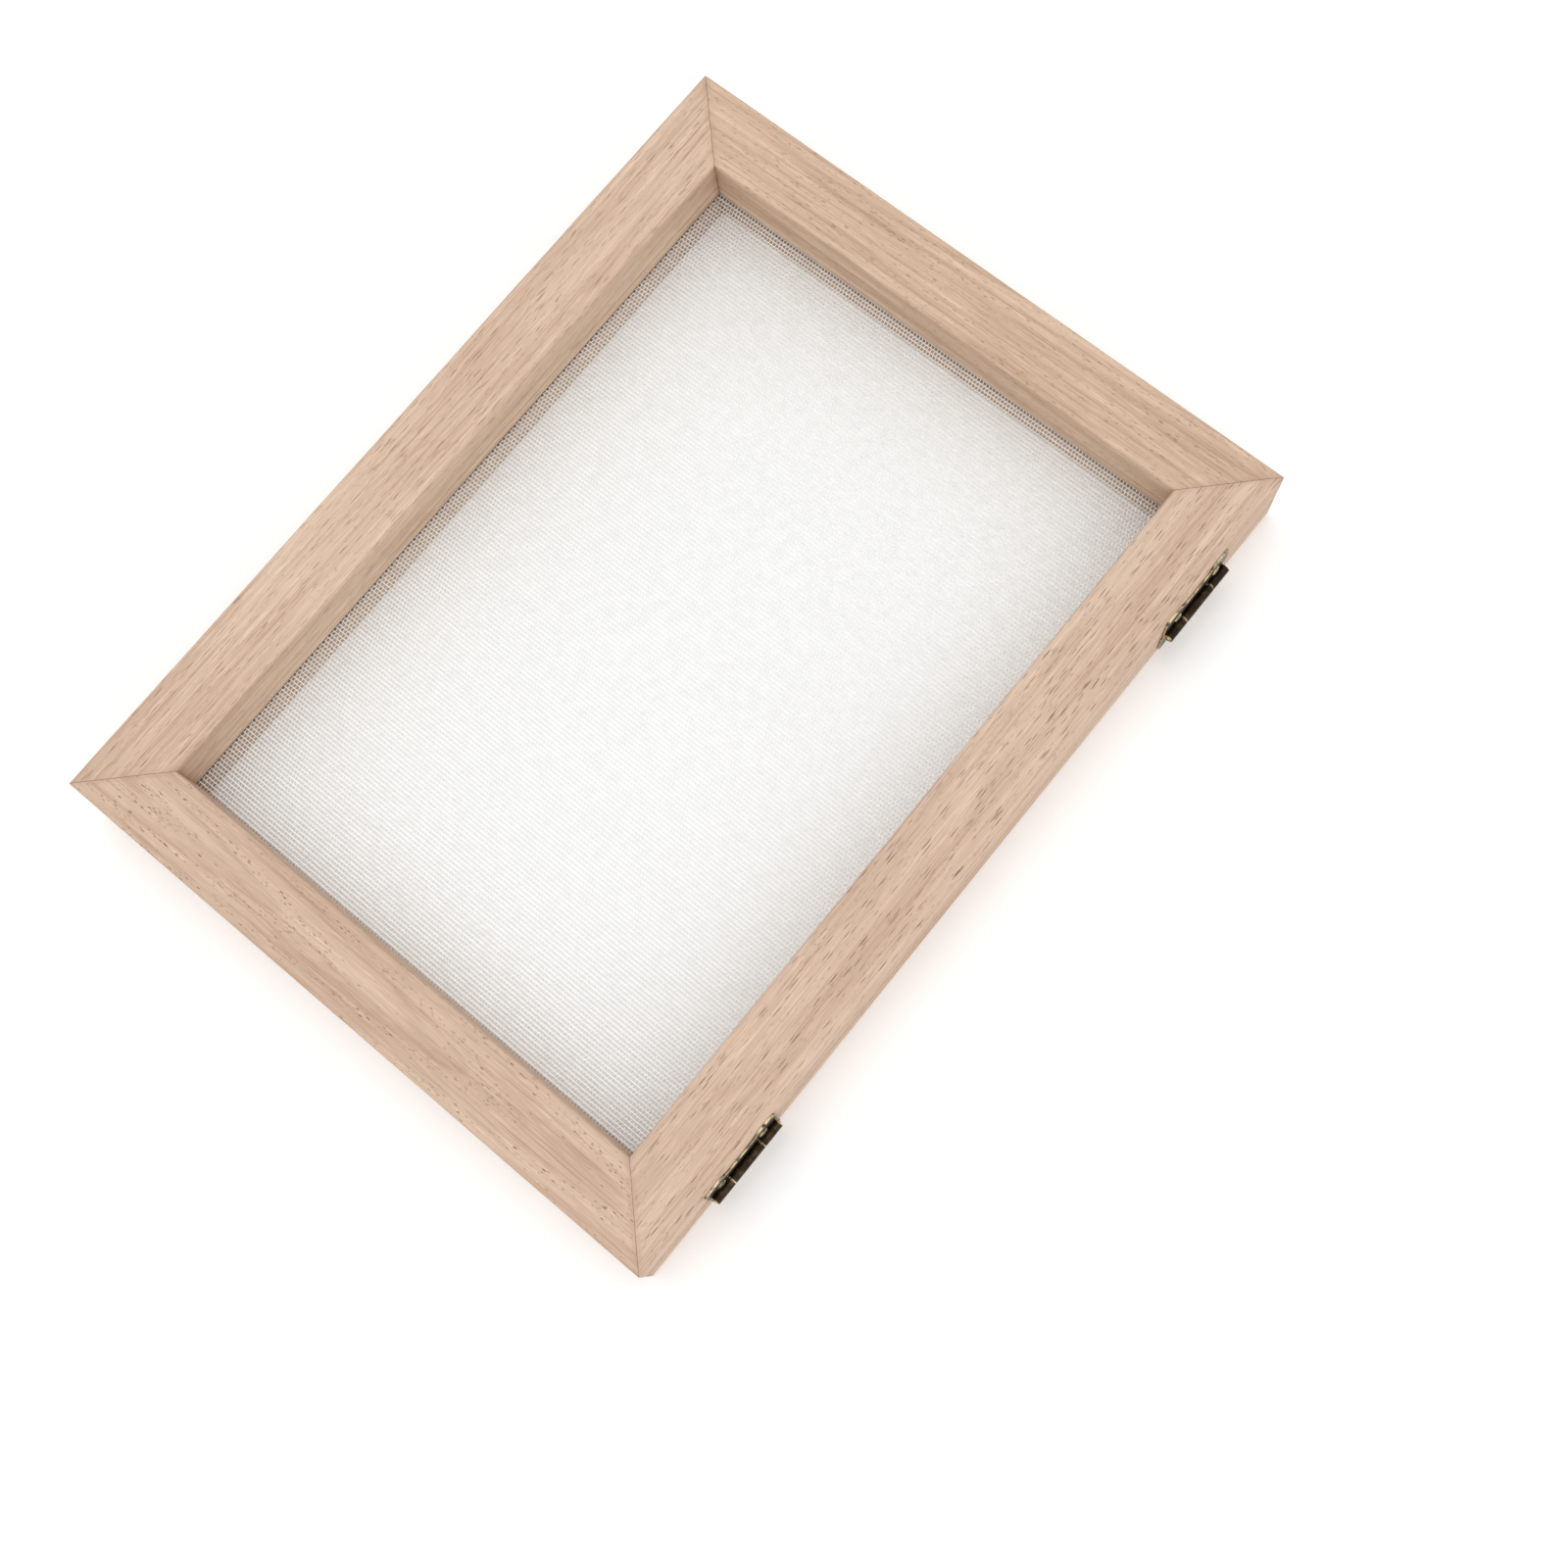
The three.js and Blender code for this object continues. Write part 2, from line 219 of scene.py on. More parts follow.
def number(name: str, value: float = 0.0) -> Socket:
    """Names a number that goes in or out of a group."""
    return Socket(name, "NodeSocketFloat", value)


def colour(name: str) -> Socket:
    """Names a colour that goes in or out of a group."""
    return Socket(name, "NodeSocketColor")


def new_group(name: str, kind: str, inputs: list[Socket], outputs: list[Socket]) -> NodeTree:
    """Makes an empty node group.

    Args:
        name: The group's name.
        kind: ShaderNodeTree or GeometryNodeTree.
        inputs: Its inputs.
        outputs: Its outputs.

    Returns:
        The group, with its input and output nodes named Group Input and Group Output.
    """
    tree = bpy.data.node_groups.new(name, kind)
    for way, sockets in (("INPUT", inputs), ("OUTPUT", outputs)):
        for socket in sockets:
            made = tree.interface.new_socket(socket.name, in_out=way, socket_type=socket.kind)
            if socket.value is not None:
                made.default_value = socket.value
    tree.nodes.new("NodeGroupInput")
    tree.nodes.new("NodeGroupOutput")
    return tree


def ends_of(tree: NodeTree) -> tuple[NodeInputs, NodeInputs]:
    """Gives the sockets that a group's inputs come out of, and those that its outputs go into."""
    return tree.nodes["Group Input"].outputs, tree.nodes["Group Output"].inputs


class SharedTree:
    """A node tree that is built the first time it is asked for."""

    NAME = ""

    @classmethod
    def tree(cls) -> NodeTree:
        """Gives the tree."""
        return bpy.data.node_groups.get(cls.NAME) or cls._build()

    @classmethod
    def _build(cls) -> NodeTree:
        """Builds the tree."""
        raise NotImplementedError


# ---------------------------------------------------------------------------------------------
# Effects shared by finishes
# ---------------------------------------------------------------------------------------------


class BoardFigure(SharedTree):
    """The figure of a board sawn from a log: growth rings, streaks of fibre and open pores.

    The rings are circles round a heart line that leans along the board, so that a board sawn through
    the middle shows arches and one from the edge shows straight lines, on its faces and ends alike.
    """

    NAME = "Board figure"
    WARP_MM = (130.0, 16.0, 16.0)
    WARP_SIZE_MM = 2.2
    FINE_WARP_MM = (22.0, 5.0, 5.0)
    FINE_WARP_SIZE_MM = 0.5
    FIBRE_MM = (6.0, 0.2, 0.2)
    # Broad bands, streaks, lines and fibres: size, where the noise starts and ends, share of the tone.
    TONES = (
        ((85.0, 7.0, 7.0), 0.3, 0.7, 0.32),
        ((46.0, 0.9, 0.9), 0.32, 0.68, 0.2),
        ((26.0, 0.34, 0.34), 0.5, 0.74, 0.4),
        (FIBRE_MM, 0.25, 0.75, 0.3),
    )
    FLECK_MM = (9.0, 0.5, 0.5)
    FLECK_RANGE = (0.56, 0.72)
    FLECK_STRENGTH = 0.8
    FIBRE_HEIGHT = 0.4
    RING_HEIGHT = 0.25
    RING_CHANCE = (0.45, 1.0)
    PORE_ACROSS_MM = 0.42
    SMALL_PORE_MM = (2.4, 0.34, 0.34)
    CREAM = (1.16, 1.17, 1.18, 1.0)

    @classmethod
    def _build(cls) -> NodeTree:
        """Builds the group."""
        inputs = [
            Socket("Board", "NodeSocketVector"),
            number("Along"),
            number("Heart Across"),
            number("Heart Depth", 20.0),
            number("Lean"),
            number("Ring Width", 3.0),
            number("Ring Strength", 0.5),
            number("Pore Share", 0.3),
            number("Pore Zoning", 0.5),
            number("Pore Length", 3.0),
            number("Pore Depth", 0.7),
            colour("Early"),
            colour("Late"),
            colour("Pore"),
        ]
        outputs = [colour("Color"), number("Pores"), number("Height")]
        tree = new_group(cls.NAME, "ShaderNodeTree", inputs, outputs)
        take, give = ends_of(tree)
        wire = Wiring(tree)

        log_place = wire.vector("ADD", take["Board"], wire.combine(take["Along"]))
        bend = cls._bend(wire, log_place)
        place = wire.vector("ADD", log_place, bend)
        ring, strength = cls._rings(wire, wire.vector("ADD", take["Board"], bend), take)
        latewood = wire.times(wire.fade(ring, 0.45, 0.95), wire.fade(ring, 1.0, 0.95))
        ringed = wire.times(wire.times(latewood, strength), take["Ring Strength"])

        tone = ringed
        for feature, low, high, share in cls.TONES:
            texture = wire.noise(cls._stretched(wire, place, feature), 2.0, 0.55).outputs[0]
            tone = wire.plus(tone, wire.times(wire.fade(texture, low, high), share))
        tone = wire.math("MINIMUM", tone, 1.0)
        fibre = wire.noise(cls._stretched(wire, place, cls.FIBRE_MM), 2.0, 0.6).outputs[0]
        texture = wire.noise(cls._stretched(wire, place, cls.FLECK_MM), 1.0).outputs[0]
        fleck = wire.fade(texture, *cls.FLECK_RANGE)

        pores = cls._pores(wire, place, ring, take)
        shade = wire.mix(tone, take["Early"], take["Late"])
        lighter = wire.mix(1.0, shade, cls.CREAM, "MULTIPLY")
        shade = wire.mix(wire.times(fleck, cls.FLECK_STRENGTH), shade, lighter)
        shade = wire.mix(wire.times(pores, take["Pore Depth"]), shade, take["Pore"])

        height = wire.minus(wire.times(fibre, cls.FIBRE_HEIGHT), pores)
        height = wire.plus(height, wire.times(ringed, cls.RING_HEIGHT))
        for name, value in (("Color", shade), ("Pores", pores), ("Height", height)):
            tree.links.new(value, give[name])
        return tree

    @staticmethod
    def _stretched(wire: Wiring, board: object, size_mm: tuple[float, float, float]) -> NodeSocket:
        """Scales board coordinates so that a unit is one feature of this size."""
        return wire.vector("DIVIDE", board, size_mm)

    @classmethod
    def _bend(cls, wire: Wiring, place: NodeSocket) -> NodeSocket:
        """Gives how far the grain strays across the board, broadly and finely."""
        total = None
        for feature, size in ((cls.WARP_MM, cls.WARP_SIZE_MM), (cls.FINE_WARP_MM, cls.FINE_WARP_SIZE_MM)):
            bend = wire.noise(cls._stretched(wire, place, feature), 1.0).outputs[1]
            bend = wire.vector("SUBTRACT", bend, (0.5, 0.5, 0.5))
            bend = wire.vector("MULTIPLY", bend, (0.0, size, size))
            total = bend if total is None else wire.vector("ADD", total, bend)
        return total

    @classmethod
    def _rings(cls, wire: Wiring, board: NodeSocket, take: NodeInputs) -> tuple:
        """Gives how far a point is through its ring, 0 to 1, and how strongly that ring shows."""
        x, y, z = wire.separate(board)
        across = wire.minus(y, take["Heart Across"])
        depth = wire.plus(z, take["Heart Depth"])
        depth = wire.plus(depth, wire.times(x, take["Lean"]))
        squares = [wire.math("POWER", leg, 2.0) for leg in (across, depth)]
        radius = wire.math("SQRT", wire.plus(*squares))
        count = wire.math("DIVIDE", radius, take["Ring Width"])
        whole = wire.math("FLOOR", count)
        chance = wire.add("ShaderNodeTexWhiteNoise", {"W": whole}, noise_dimensions="1D").outputs["Value"]
        return wire.math("FRACT", count), wire.spread(chance, *cls.RING_CHANCE)

    @classmethod
    def _pores(cls, wire: Wiring, place: object, ring: object, take: NodeInputs) -> NodeSocket:
        """Gives the mask of the open pores: long dashes where a ring starts and short ones anywhere."""
        zone = wire.spread(wire.fade(ring, 0.42, 0.12), 0.08, 2.2)
        zoned = wire.times(wire.minus(zone, 1.0), take["Pore Zoning"])
        share = wire.times(take["Pore Share"], wire.plus(zoned, 1.0))
        length = wire.combine(take["Pore Length"], cls.PORE_ACROSS_MM, cls.PORE_ACROSS_MM)
        long_dash = cls._dashes(wire, wire.vector("DIVIDE", place, length), share, 0.25)
        shifted = wire.vector("ADD", place, (31.0, 7.0, 3.0))
        some = wire.times(share, 0.7)
        short_dash = cls._dashes(wire, cls._stretched(wire, shifted, cls.SMALL_PORE_MM), some, 0.22)
        return wire.math("MAXIMUM", long_dash, wire.times(short_dash, 0.6))

    @staticmethod
    def _dashes(wire: Wiring, cells: object, share: object, radius: float) -> NodeSocket:
        """Gives a dash in a share of the cells, each of its own width and strength."""
        cell = wire.add("ShaderNodeTexVoronoi", {"Vector": cells, "Scale": 1.0})
        chance, width, strength = wire.separate(cell.outputs["Color"])
        edge = wire.spread(width, 0.6 * radius, 1.5 * radius)
        dash = wire.fade(cell.outputs["Distance"], edge, wire.times(edge, 0.45))
        there = wire.math("LESS_THAN", chance, share)
        return wire.times(wire.times(dash, there), wire.spread(strength, 0.45, 1.0))


class Handling(SharedTree):
    """The marks of making and use: rubbed arrises, broken up by noise, and a faint broad mottle."""

    NAME = "Handling"
    ARRIS = "arris"

    @classmethod
    def _build(cls) -> NodeTree:
        """Builds the group."""
        inputs = [
            Socket("Place", "NodeSocketVector"),
            number("Arris"),
            number("Patch Size", 4.0),
            number("Amount", 1.0),
        ]
        outputs = [number("Rubbed"), number("Mottle"), number("Grit")]
        tree = new_group(cls.NAME, "ShaderNodeTree", inputs, outputs)
        take, give = ends_of(tree)
        wire = Wiring(tree)
        patches = wire.vector("DIVIDE", take["Place"], wire.thrice(take["Patch Size"]))
        mottle = wire.noise(patches, 3.0, 0.55).outputs[0]
        grit = wire.noise(wire.vector("MULTIPLY", patches, (9.0, 9.0, 9.0)), 2.0, 0.6).outputs[0]
        broken = wire.times(wire.fade(mottle, 0.25, 0.6), wire.spread(grit, 0.6, 1.3))
        marked = wire.times(take["Arris"], broken)
        rubbed = wire.times(marked, take["Amount"], clamp=True)
        for name, value in (("Rubbed", rubbed), ("Mottle", mottle), ("Grit", grit)):
            tree.links.new(value, give[name])
        return tree


# ---------------------------------------------------------------------------------------------
# Finishes
# ---------------------------------------------------------------------------------------------


class Finish:
    """A material under construction: its nodes and its Principled shader."""

    def __init__(self, name: str) -> None:
        """Starts a material with an empty tree but for its shader and output."""
        self.material = bpy.data.materials.new(name)
        self.material.use_nodes = True
        self.wire = Wiring(self.material.node_tree)
        self.shader = self.material.node_tree.nodes["Principled BSDF"]

    def place_mm(self, turn: float = 0.0, shift_mm: Vector | None = None) -> NodeSocket:
        """Gives the piece's own coordinates in millimetres, turned about Z and then shifted.

        Args:
            turn: The turn in radians.
            shift_mm: The shift in millimetres, or None for none.

        Returns:
            The coordinates' socket.
        """
        own = self.wire.add("ShaderNodeTexCoord").outputs["Object"]
        feeds = {"Vector": own, "Location": shift_mm or Vector(), "Rotation": (0.0, 0.0, turn)}
        return self.wire.add("ShaderNodeMapping", {**feeds, "Scale": [1 / MM] * 3}).outputs[0]

    def handling(self, place: object, patch_mm: float, amount: float) -> Node:
        """Adds the handling effect, fed by the piece's arris attribute."""
        arris = self.wire.add("ShaderNodeAttribute", attribute_name=Handling.ARRIS).outputs["Fac"]
        feeds = {"Place": place, "Arris": arris, "Patch Size": patch_mm, "Amount": amount}
        return self.wire.add("ShaderNodeGroup", feeds, node_tree=Handling.tree())

    def colour_from(self, socket: NodeSocket) -> None:
        """Links the base colour."""
        self.wire.tree.links.new(socket, self.shader.inputs["Base Color"])

    def roughness_from(self, socket: NodeSocket) -> None:
        """Links the roughness."""
        self.wire.tree.links.new(socket, self.shader.inputs["Roughness"])

    def bump_from(self, height: NodeSocket, deep_mm: float, strength: float) -> None:
        """Links a bump whose height of 1 is this many millimetres."""
        feeds = {"Height": height, "Distance": deep_mm * MM, "Strength": strength}
        bump = self.wire.add("ShaderNodeBump", feeds)
        self.wire.tree.links.new(bump.outputs[0], self.shader.inputs["Normal"])


@dataclass(frozen=True)
class Plank:
    """How one rail was cut from the log, in millimetres, and how it looks.

    Attributes:
        heart_across: Where the heart line lies across the rail, from the rail's middle.
        heart_depth: How deep the heart line lies under the rail's top face.
        lean: How fast the heart line sinks along the rail.
        along: Where along the log the rail was cut.
        ring_width: The width of a growth ring.
        ring_strength: How strongly the rings show, 0 to 1.
        pore_share: The share of places that hold a pore, 0 to 1.
        pore_zoning: How far the pores keep to the start of each ring, 0 to 1.
        pore_length: The length of a long pore's cell.
        pore_depth: How strongly the pores show, 0 to 1.
        tint: The tint that the wood's colours are multiplied by.
    """

    heart_across: float
    heart_depth: float
    lean: float
    along: float
    ring_width: float = 3.0
    ring_strength: float = 0.45
    pore_share: float = 0.35
    pore_zoning: float = 0.4
    pore_length: float = 4.2
    pore_depth: float = 0.75
    tint: Colour = (1.0, 1.0, 1.0)


@dataclass(frozen=True)
class BareWood:
    """Sanded wood with open pores and no varnish."""

    early: Colour = srgb(214, 191, 170)
    late: Colour = srgb(172, 142, 121)
    pore: Colour = srgb(88, 58, 46)
    edge: Colour = srgb(176, 143, 124)
    # The dark brown of the glue line at the glued seam, also used as painted shade in the gap there and under
    # the net.
    seam: Colour = srgb(74, 48, 36)
    patch_mm: float = 6.0
    rubbing: float = 0.55
    roughness: tuple[float, float] = (0.62, 0.82)
    seam_strength: float = 0.85
    pore_roughness: float = 0.1
    grit_height: float = 0.12
    specular: float = 0.35
    pore_deep_mm: float = 0.16
    bump_strength: float = 0.55

    def material(self, name: str, plank: Plank, side: Side, middle: Vector) -> Material:
        """Makes the material of one rail.

        Args:
            name: The material's name.
            plank: How the rail was cut.
            side: The side of the frame that the rail is on.
            middle: The middle of the rail's top face.

        Returns:
            The material.
        """
        finish = Finish(name)
        wire = finish.wire
        turned = Matrix.Rotation(-side.turn, 3, "Z") @ (middle / MM)
        board = finish.place_mm(-side.turn, -turned)
        numbers = {field.name: getattr(plank, field.name) for field in fields(plank) if field.name != "tint"}
        feeds = {name.replace("_", " ").title(): value for name, value in numbers.items()}
        for name, base in (("Early", self.early), ("Late", self.late), ("Pore", self.pore)):
            feeds[name] = self._tinted(base, plank)
        figure = wire.add("ShaderNodeGroup", {"Board": board, **feeds}, node_tree=BoardFigure.tree())
        handled = finish.handling(board, self.patch_mm, self.rubbing)
        # Painted shade, with a glue line: the stored darkening mixes in the dark brown at the glued seam and
        # on the arris under the net.
        seam = wire.add("ShaderNodeAttribute", attribute_name=SEAM_AND_SHADE).outputs["Fac"]
        shade = wire.mix(handled.outputs["Rubbed"], figure.outputs["Color"], self._tinted(self.edge, plank))
        darkened = wire.times(seam, self.seam_strength)
        finish.colour_from(wire.mix(darkened, shade, (*self.seam, 1.0)))
        rough = wire.spread(handled.outputs["Mottle"], *self.roughness)
        rougher = wire.times(figure.outputs["Pores"], self.pore_roughness)
        finish.roughness_from(wire.plus(rough, rougher, clamp=True))
        grit = wire.times(handled.outputs["Grit"], self.grit_height)
        height = wire.plus(figure.outputs["Height"], grit)
        finish.bump_from(height, self.pore_deep_mm, self.bump_strength)
        finish.shader.inputs["Specular IOR Level"].default_value = self.specular
        return finish.material

    @staticmethod
    def _tinted(base: Colour, plank: Plank) -> tuple[float, float, float, float]:
        """Multiplies a colour by the plank's tint."""
        return (*(a * b for a, b in zip(base, plank.tint)), 1.0)


@dataclass(frozen=True)
class AntiqueBronze:
    """Dark, brushed antique plating that is rubbed back to yellow metal on its edges."""

    dark: Colour = srgb(46, 37, 28)
    brown: Colour = srgb(92, 74, 50)
    bright: Colour = srgb(228, 208, 166)
    patch_mm: float = 1.6
    rubbing: float = 1.25
    roughness: tuple[float, float] = (0.24, 0.46)
    brush_mm: tuple[float, float, float] = (3.0, 0.09, 0.09)
    worn_range: tuple[float, float] = (0.42, 0.72)
    grit_deep_mm: float = 0.03
    bump_strength: float = 0.35

    def material(self, name: str) -> Material:
        """Makes the material."""
        finish = Finish(name)
        wire = finish.wire
        place = finish.place_mm()
        handled = finish.handling(place, self.patch_mm, self.rubbing)
        brushed = wire.noise(wire.vector("DIVIDE", place, self.brush_mm), 2.0, 0.6).outputs[0]
        worn = wire.fade(handled.outputs["Mottle"], *self.worn_range)
        plating = wire.mix(wire.times(worn, brushed), (*self.dark, 1.0), (*self.brown, 1.0))
        finish.colour_from(wire.mix(handled.outputs["Rubbed"], plating, (*self.bright, 1.0)))
        finish.roughness_from(wire.spread(handled.outputs["Grit"], *self.roughness))
        height = wire.plus(wire.times(handled.outputs["Grit"], 0.5), brushed)
        finish.bump_from(height, self.grit_deep_mm, self.bump_strength)
        finish.shader.inputs["Metallic"].default_value = 1.0
        return finish.material


@dataclass(frozen=True)
class BrightSteel:
    """Zinc-plated steel with a fine draw line and dull spots."""

    bright: Colour = srgb(206, 208, 210)
    dull: Colour = srgb(150, 150, 148)
    patch_mm: float = 1.2
    roughness: tuple[float, float] = (0.22, 0.5)
    draw_mm: tuple[float, float, float] = (0.08, 0.08, 2.5)
    dull_range: tuple[float, float] = (0.45, 0.7)
    grit_deep_mm: float = 0.02
    bump_strength: float = 0.3

    def material(self, name: str) -> Material:
        """Makes the material."""
        finish = Finish(name)
        wire = finish.wire
        place = finish.place_mm()
        handled = finish.handling(place, self.patch_mm, 1.0)
        drawn = wire.noise(wire.vector("DIVIDE", place, self.draw_mm), 2.0).outputs[0]
        dulled = wire.times(wire.fade(handled.outputs["Mottle"], *self.dull_range), 0.8)
        finish.colour_from(wire.mix(dulled, (*self.bright, 1.0), (*self.dull, 1.0)))
        finish.roughness_from(wire.spread(handled.outputs["Grit"], *self.roughness))
        finish.bump_from(drawn, self.grit_deep_mm, self.bump_strength)
        finish.shader.inputs["Metallic"].default_value = 1.0
        return finish.material


@dataclass(frozen=True)
class WhiteNylon:
    """Milky nylon filament, a little see-through and a little uneven in tone."""

    milky: Colour = srgb(254, 254, 252)
    grey: Colour = srgb(246, 246, 244)
    opacity: float = 0.9
    patch_mm: float = 3.0
    roughness: tuple[float, float] = (0.3, 0.5)
    grey_range: tuple[float, float] = (0.35, 0.7)
    grit_deep_mm: float = 0.01
    bump_strength: float = 0.2

    def material(self, name: str) -> Material:
        """Makes the material."""
        finish = Finish(name)
        wire = finish.wire
        handled = finish.handling(finish.place_mm(), self.patch_mm, 0.0)
        uneven = wire.fade(handled.outputs["Mottle"], *self.grey_range)
        finish.colour_from(wire.mix(uneven, (*self.milky, 1.0), (*self.grey, 1.0)))
        finish.roughness_from(wire.spread(handled.outputs["Grit"], *self.roughness))
        finish.bump_from(handled.outputs["Grit"], self.grit_deep_mm, self.bump_strength)
        finish.shader.inputs["Alpha"].default_value = self.opacity
        return finish.material


# ---------------------------------------------------------------------------------------------
# Meshes and pieces
# ---------------------------------------------------------------------------------------------

# Attribute of the rails' darkening: a dark glue line with painted shade in the gap at the glued seam, and
# painted shade on the lower rail's arris under the net.
SEAM_AND_SHADE = "seam"
SMOOTH_UNDER = math.radians(32)
ARRIS_FROM = math.radians(12)
ARRIS_FULL = math.radians(34)


def mesh_from(points: list[Vector], faces: list[tuple[int, ...]], name: str) -> Mesh:
    """Makes a closed mesh whose faces point outwards.

    Args:
        points: The corners.
        faces: The corners of each face, by number.
        name: The mesh's name.

    Returns:
        The mesh.
    """
    mesh = bpy.data.meshes.new(name)
    mesh.from_pydata([tuple(p) for p in points], [], faces)
    working = bmesh.new()
    working.from_mesh(mesh)
    bmesh.ops.recalc_face_normals(working, faces=working.faces)
    if working.calc_volume(signed=True) < 0:
        bmesh.ops.reverse_faces(working, faces=working.faces)
    working.to_mesh(mesh)
    working.free()
    return mesh


def lathe(profile: list[tuple[float, float]], sides: int, name: str) -> Mesh:
    """Turns a profile about the Y axis.

    Args:
        profile: Distances from the axis and places along it. The first and last lie on the axis.
        sides: The number of sides.
        name: The mesh's name.

    Returns:
        The mesh, with a single point at each pole.
    """
    first, last = profile[0][1], profile[-1][1]
    points = [Vector((0.0, first, 0.0)), Vector((0.0, last, 0.0))]
    rings = []
    for radius, along in profile[1:-1]:
        rings.append(range(len(points), len(points) + sides))
        for i in range(sides):
            angle = 2 * math.pi * i / sides
            points.append(Vector((radius * math.cos(angle), along, radius * math.sin(angle))))
    faces = []
    for i in range(sides):
        after = (i + 1) % sides
        faces.append((0, rings[0][i], rings[0][after]))
        faces.append((1, rings[-1][after], rings[-1][i]))
        for near, far in zip(rings, rings[1:]):
            faces.append((near[i], far[i], far[after], near[after]))
    return mesh_from(points, faces, name)


def side_faces(count: int, rings: int) -> list[tuple[int, ...]]:
    """Gives the faces between rings of points that follow one another, this many points to a ring."""
    found = []
    for start in range(0, (rings - 1) * count, count):
        for i in range(count):
            after = (i + 1) % count
            found.append((start + i, start + after, start + count + after, start + count + i))
    return found


def mark_arrises(mesh: Mesh) -> None:
    """Stores how sharp and how convex the mesh is at each point, which is where it gets rubbed."""
    working = bmesh.new()
    working.from_mesh(mesh)
    values = []
    for point in working.verts:
        bends = [edge.calc_face_angle_signed(0.0) for edge in point.link_edges if edge.is_manifold]
        share = (max(bends, default=0.0) - ARRIS_FROM) / (ARRIS_FULL - ARRIS_FROM)
        values.append(min(1.0, max(0.0, share)))
    working.free()
    stored = mesh.attributes.new(Handling.ARRIS, "FLOAT", "POINT")
    stored.data.foreach_set("value", values)


def mark_and_shade(mesh: Mesh) -> None:
    """Marks the mesh's arrises and shades it smooth, apart from its sharp edges."""
    mark_arrises(mesh)
    mesh.shade_smooth()
    mesh.set_sharp_from_angle(angle=SMOOTH_UNDER)


def evaluated(carrier: Object, name: str) -> Mesh:
    """Applies the object's modifiers, removes the object and gives the plain mesh."""
    bpy.context.view_layer.update()
    seen = carrier.evaluated_get(bpy.context.evaluated_depsgraph_get())
    mesh = bpy.data.meshes.new_from_object(seen)
    mesh.name = name
    bpy.data.objects.remove(carrier)
    return mesh


def on_scene(name: str, mesh: Mesh) -> Object:
    """Adds an object with this mesh to the scene."""
    made = bpy.data.objects.new(name, mesh)
    bpy.context.scene.collection.objects.link(made)
    return made


@dataclass(frozen=True)
class Piece:
    """A finished piece: its name, its body, its slot and the CAD nodes that it stands for."""

    name: str
    body: str
    slot: str
    nodes: tuple[str, ...]

    def add(self, mesh: Mesh, material: Material) -> Object:
        """Puts the piece on its body.

        Args:
            mesh: The finished mesh, in its place.
            material: Its material.

        Returns:
            The piece's object.
        """
        mesh.materials.clear()
        mesh.materials.append(material)
        piece = on_scene(self.name, mesh)
        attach(piece, self.body)
        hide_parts(*self.nodes)
        log.info("%s rides on %s: %d faces", self.name, self.body, len(mesh.polygons))
        return piece


# ---------------------------------------------------------------------------------------------
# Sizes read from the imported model
# ---------------------------------------------------------------------------------------------


@dataclass(frozen=True)
class FrameSizes:
    """The sizes that several sub-assemblies share."""

    middle: Vector
    length: float
    width: float
    rail_width: float
    pin: Vector

    @classmethod
    def read(cls) -> FrameSizes:
        """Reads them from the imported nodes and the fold's joint."""
        left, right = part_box("upper_rail_left")[0].x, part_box("upper_rail_right")[1].x
        near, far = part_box("upper_rail_hinge_side")[0].y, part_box("upper_rail_opening_side")[1].y
        rail_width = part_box("upper_rail_hinge_side")[1].y - near
        middle = Vector(((left + right) / 2, (near + far) / 2, 0.0))
        pin = Vector(frame["joints"][0]["pos_m"])
        return cls(middle, right - left, far - near, rail_width, pin)

    def outer_length(self, side: Side) -> float:
        """Gives the length of a side's rail along its outer face."""
        return self.length if side in (Side.HINGE_SIDE, Side.OPENING_SIDE) else self.width

    def place(self, side: Side) -> Matrix:
        """Gives the matrix that takes a rail from the X axis, outer face at y = 0, to its side."""
        out = (self.width if side in (Side.HINGE_SIDE, Side.OPENING_SIDE) else self.length) / 2
        turn = Matrix.Rotation(side.turn, 4, "Z")
        return Matrix.Translation(self.middle) @ turn @ Matrix.Translation((0.0, -out, 0.0))


# ---------------------------------------------------------------------------------------------
# Fastenings
# ---------------------------------------------------------------------------------------------


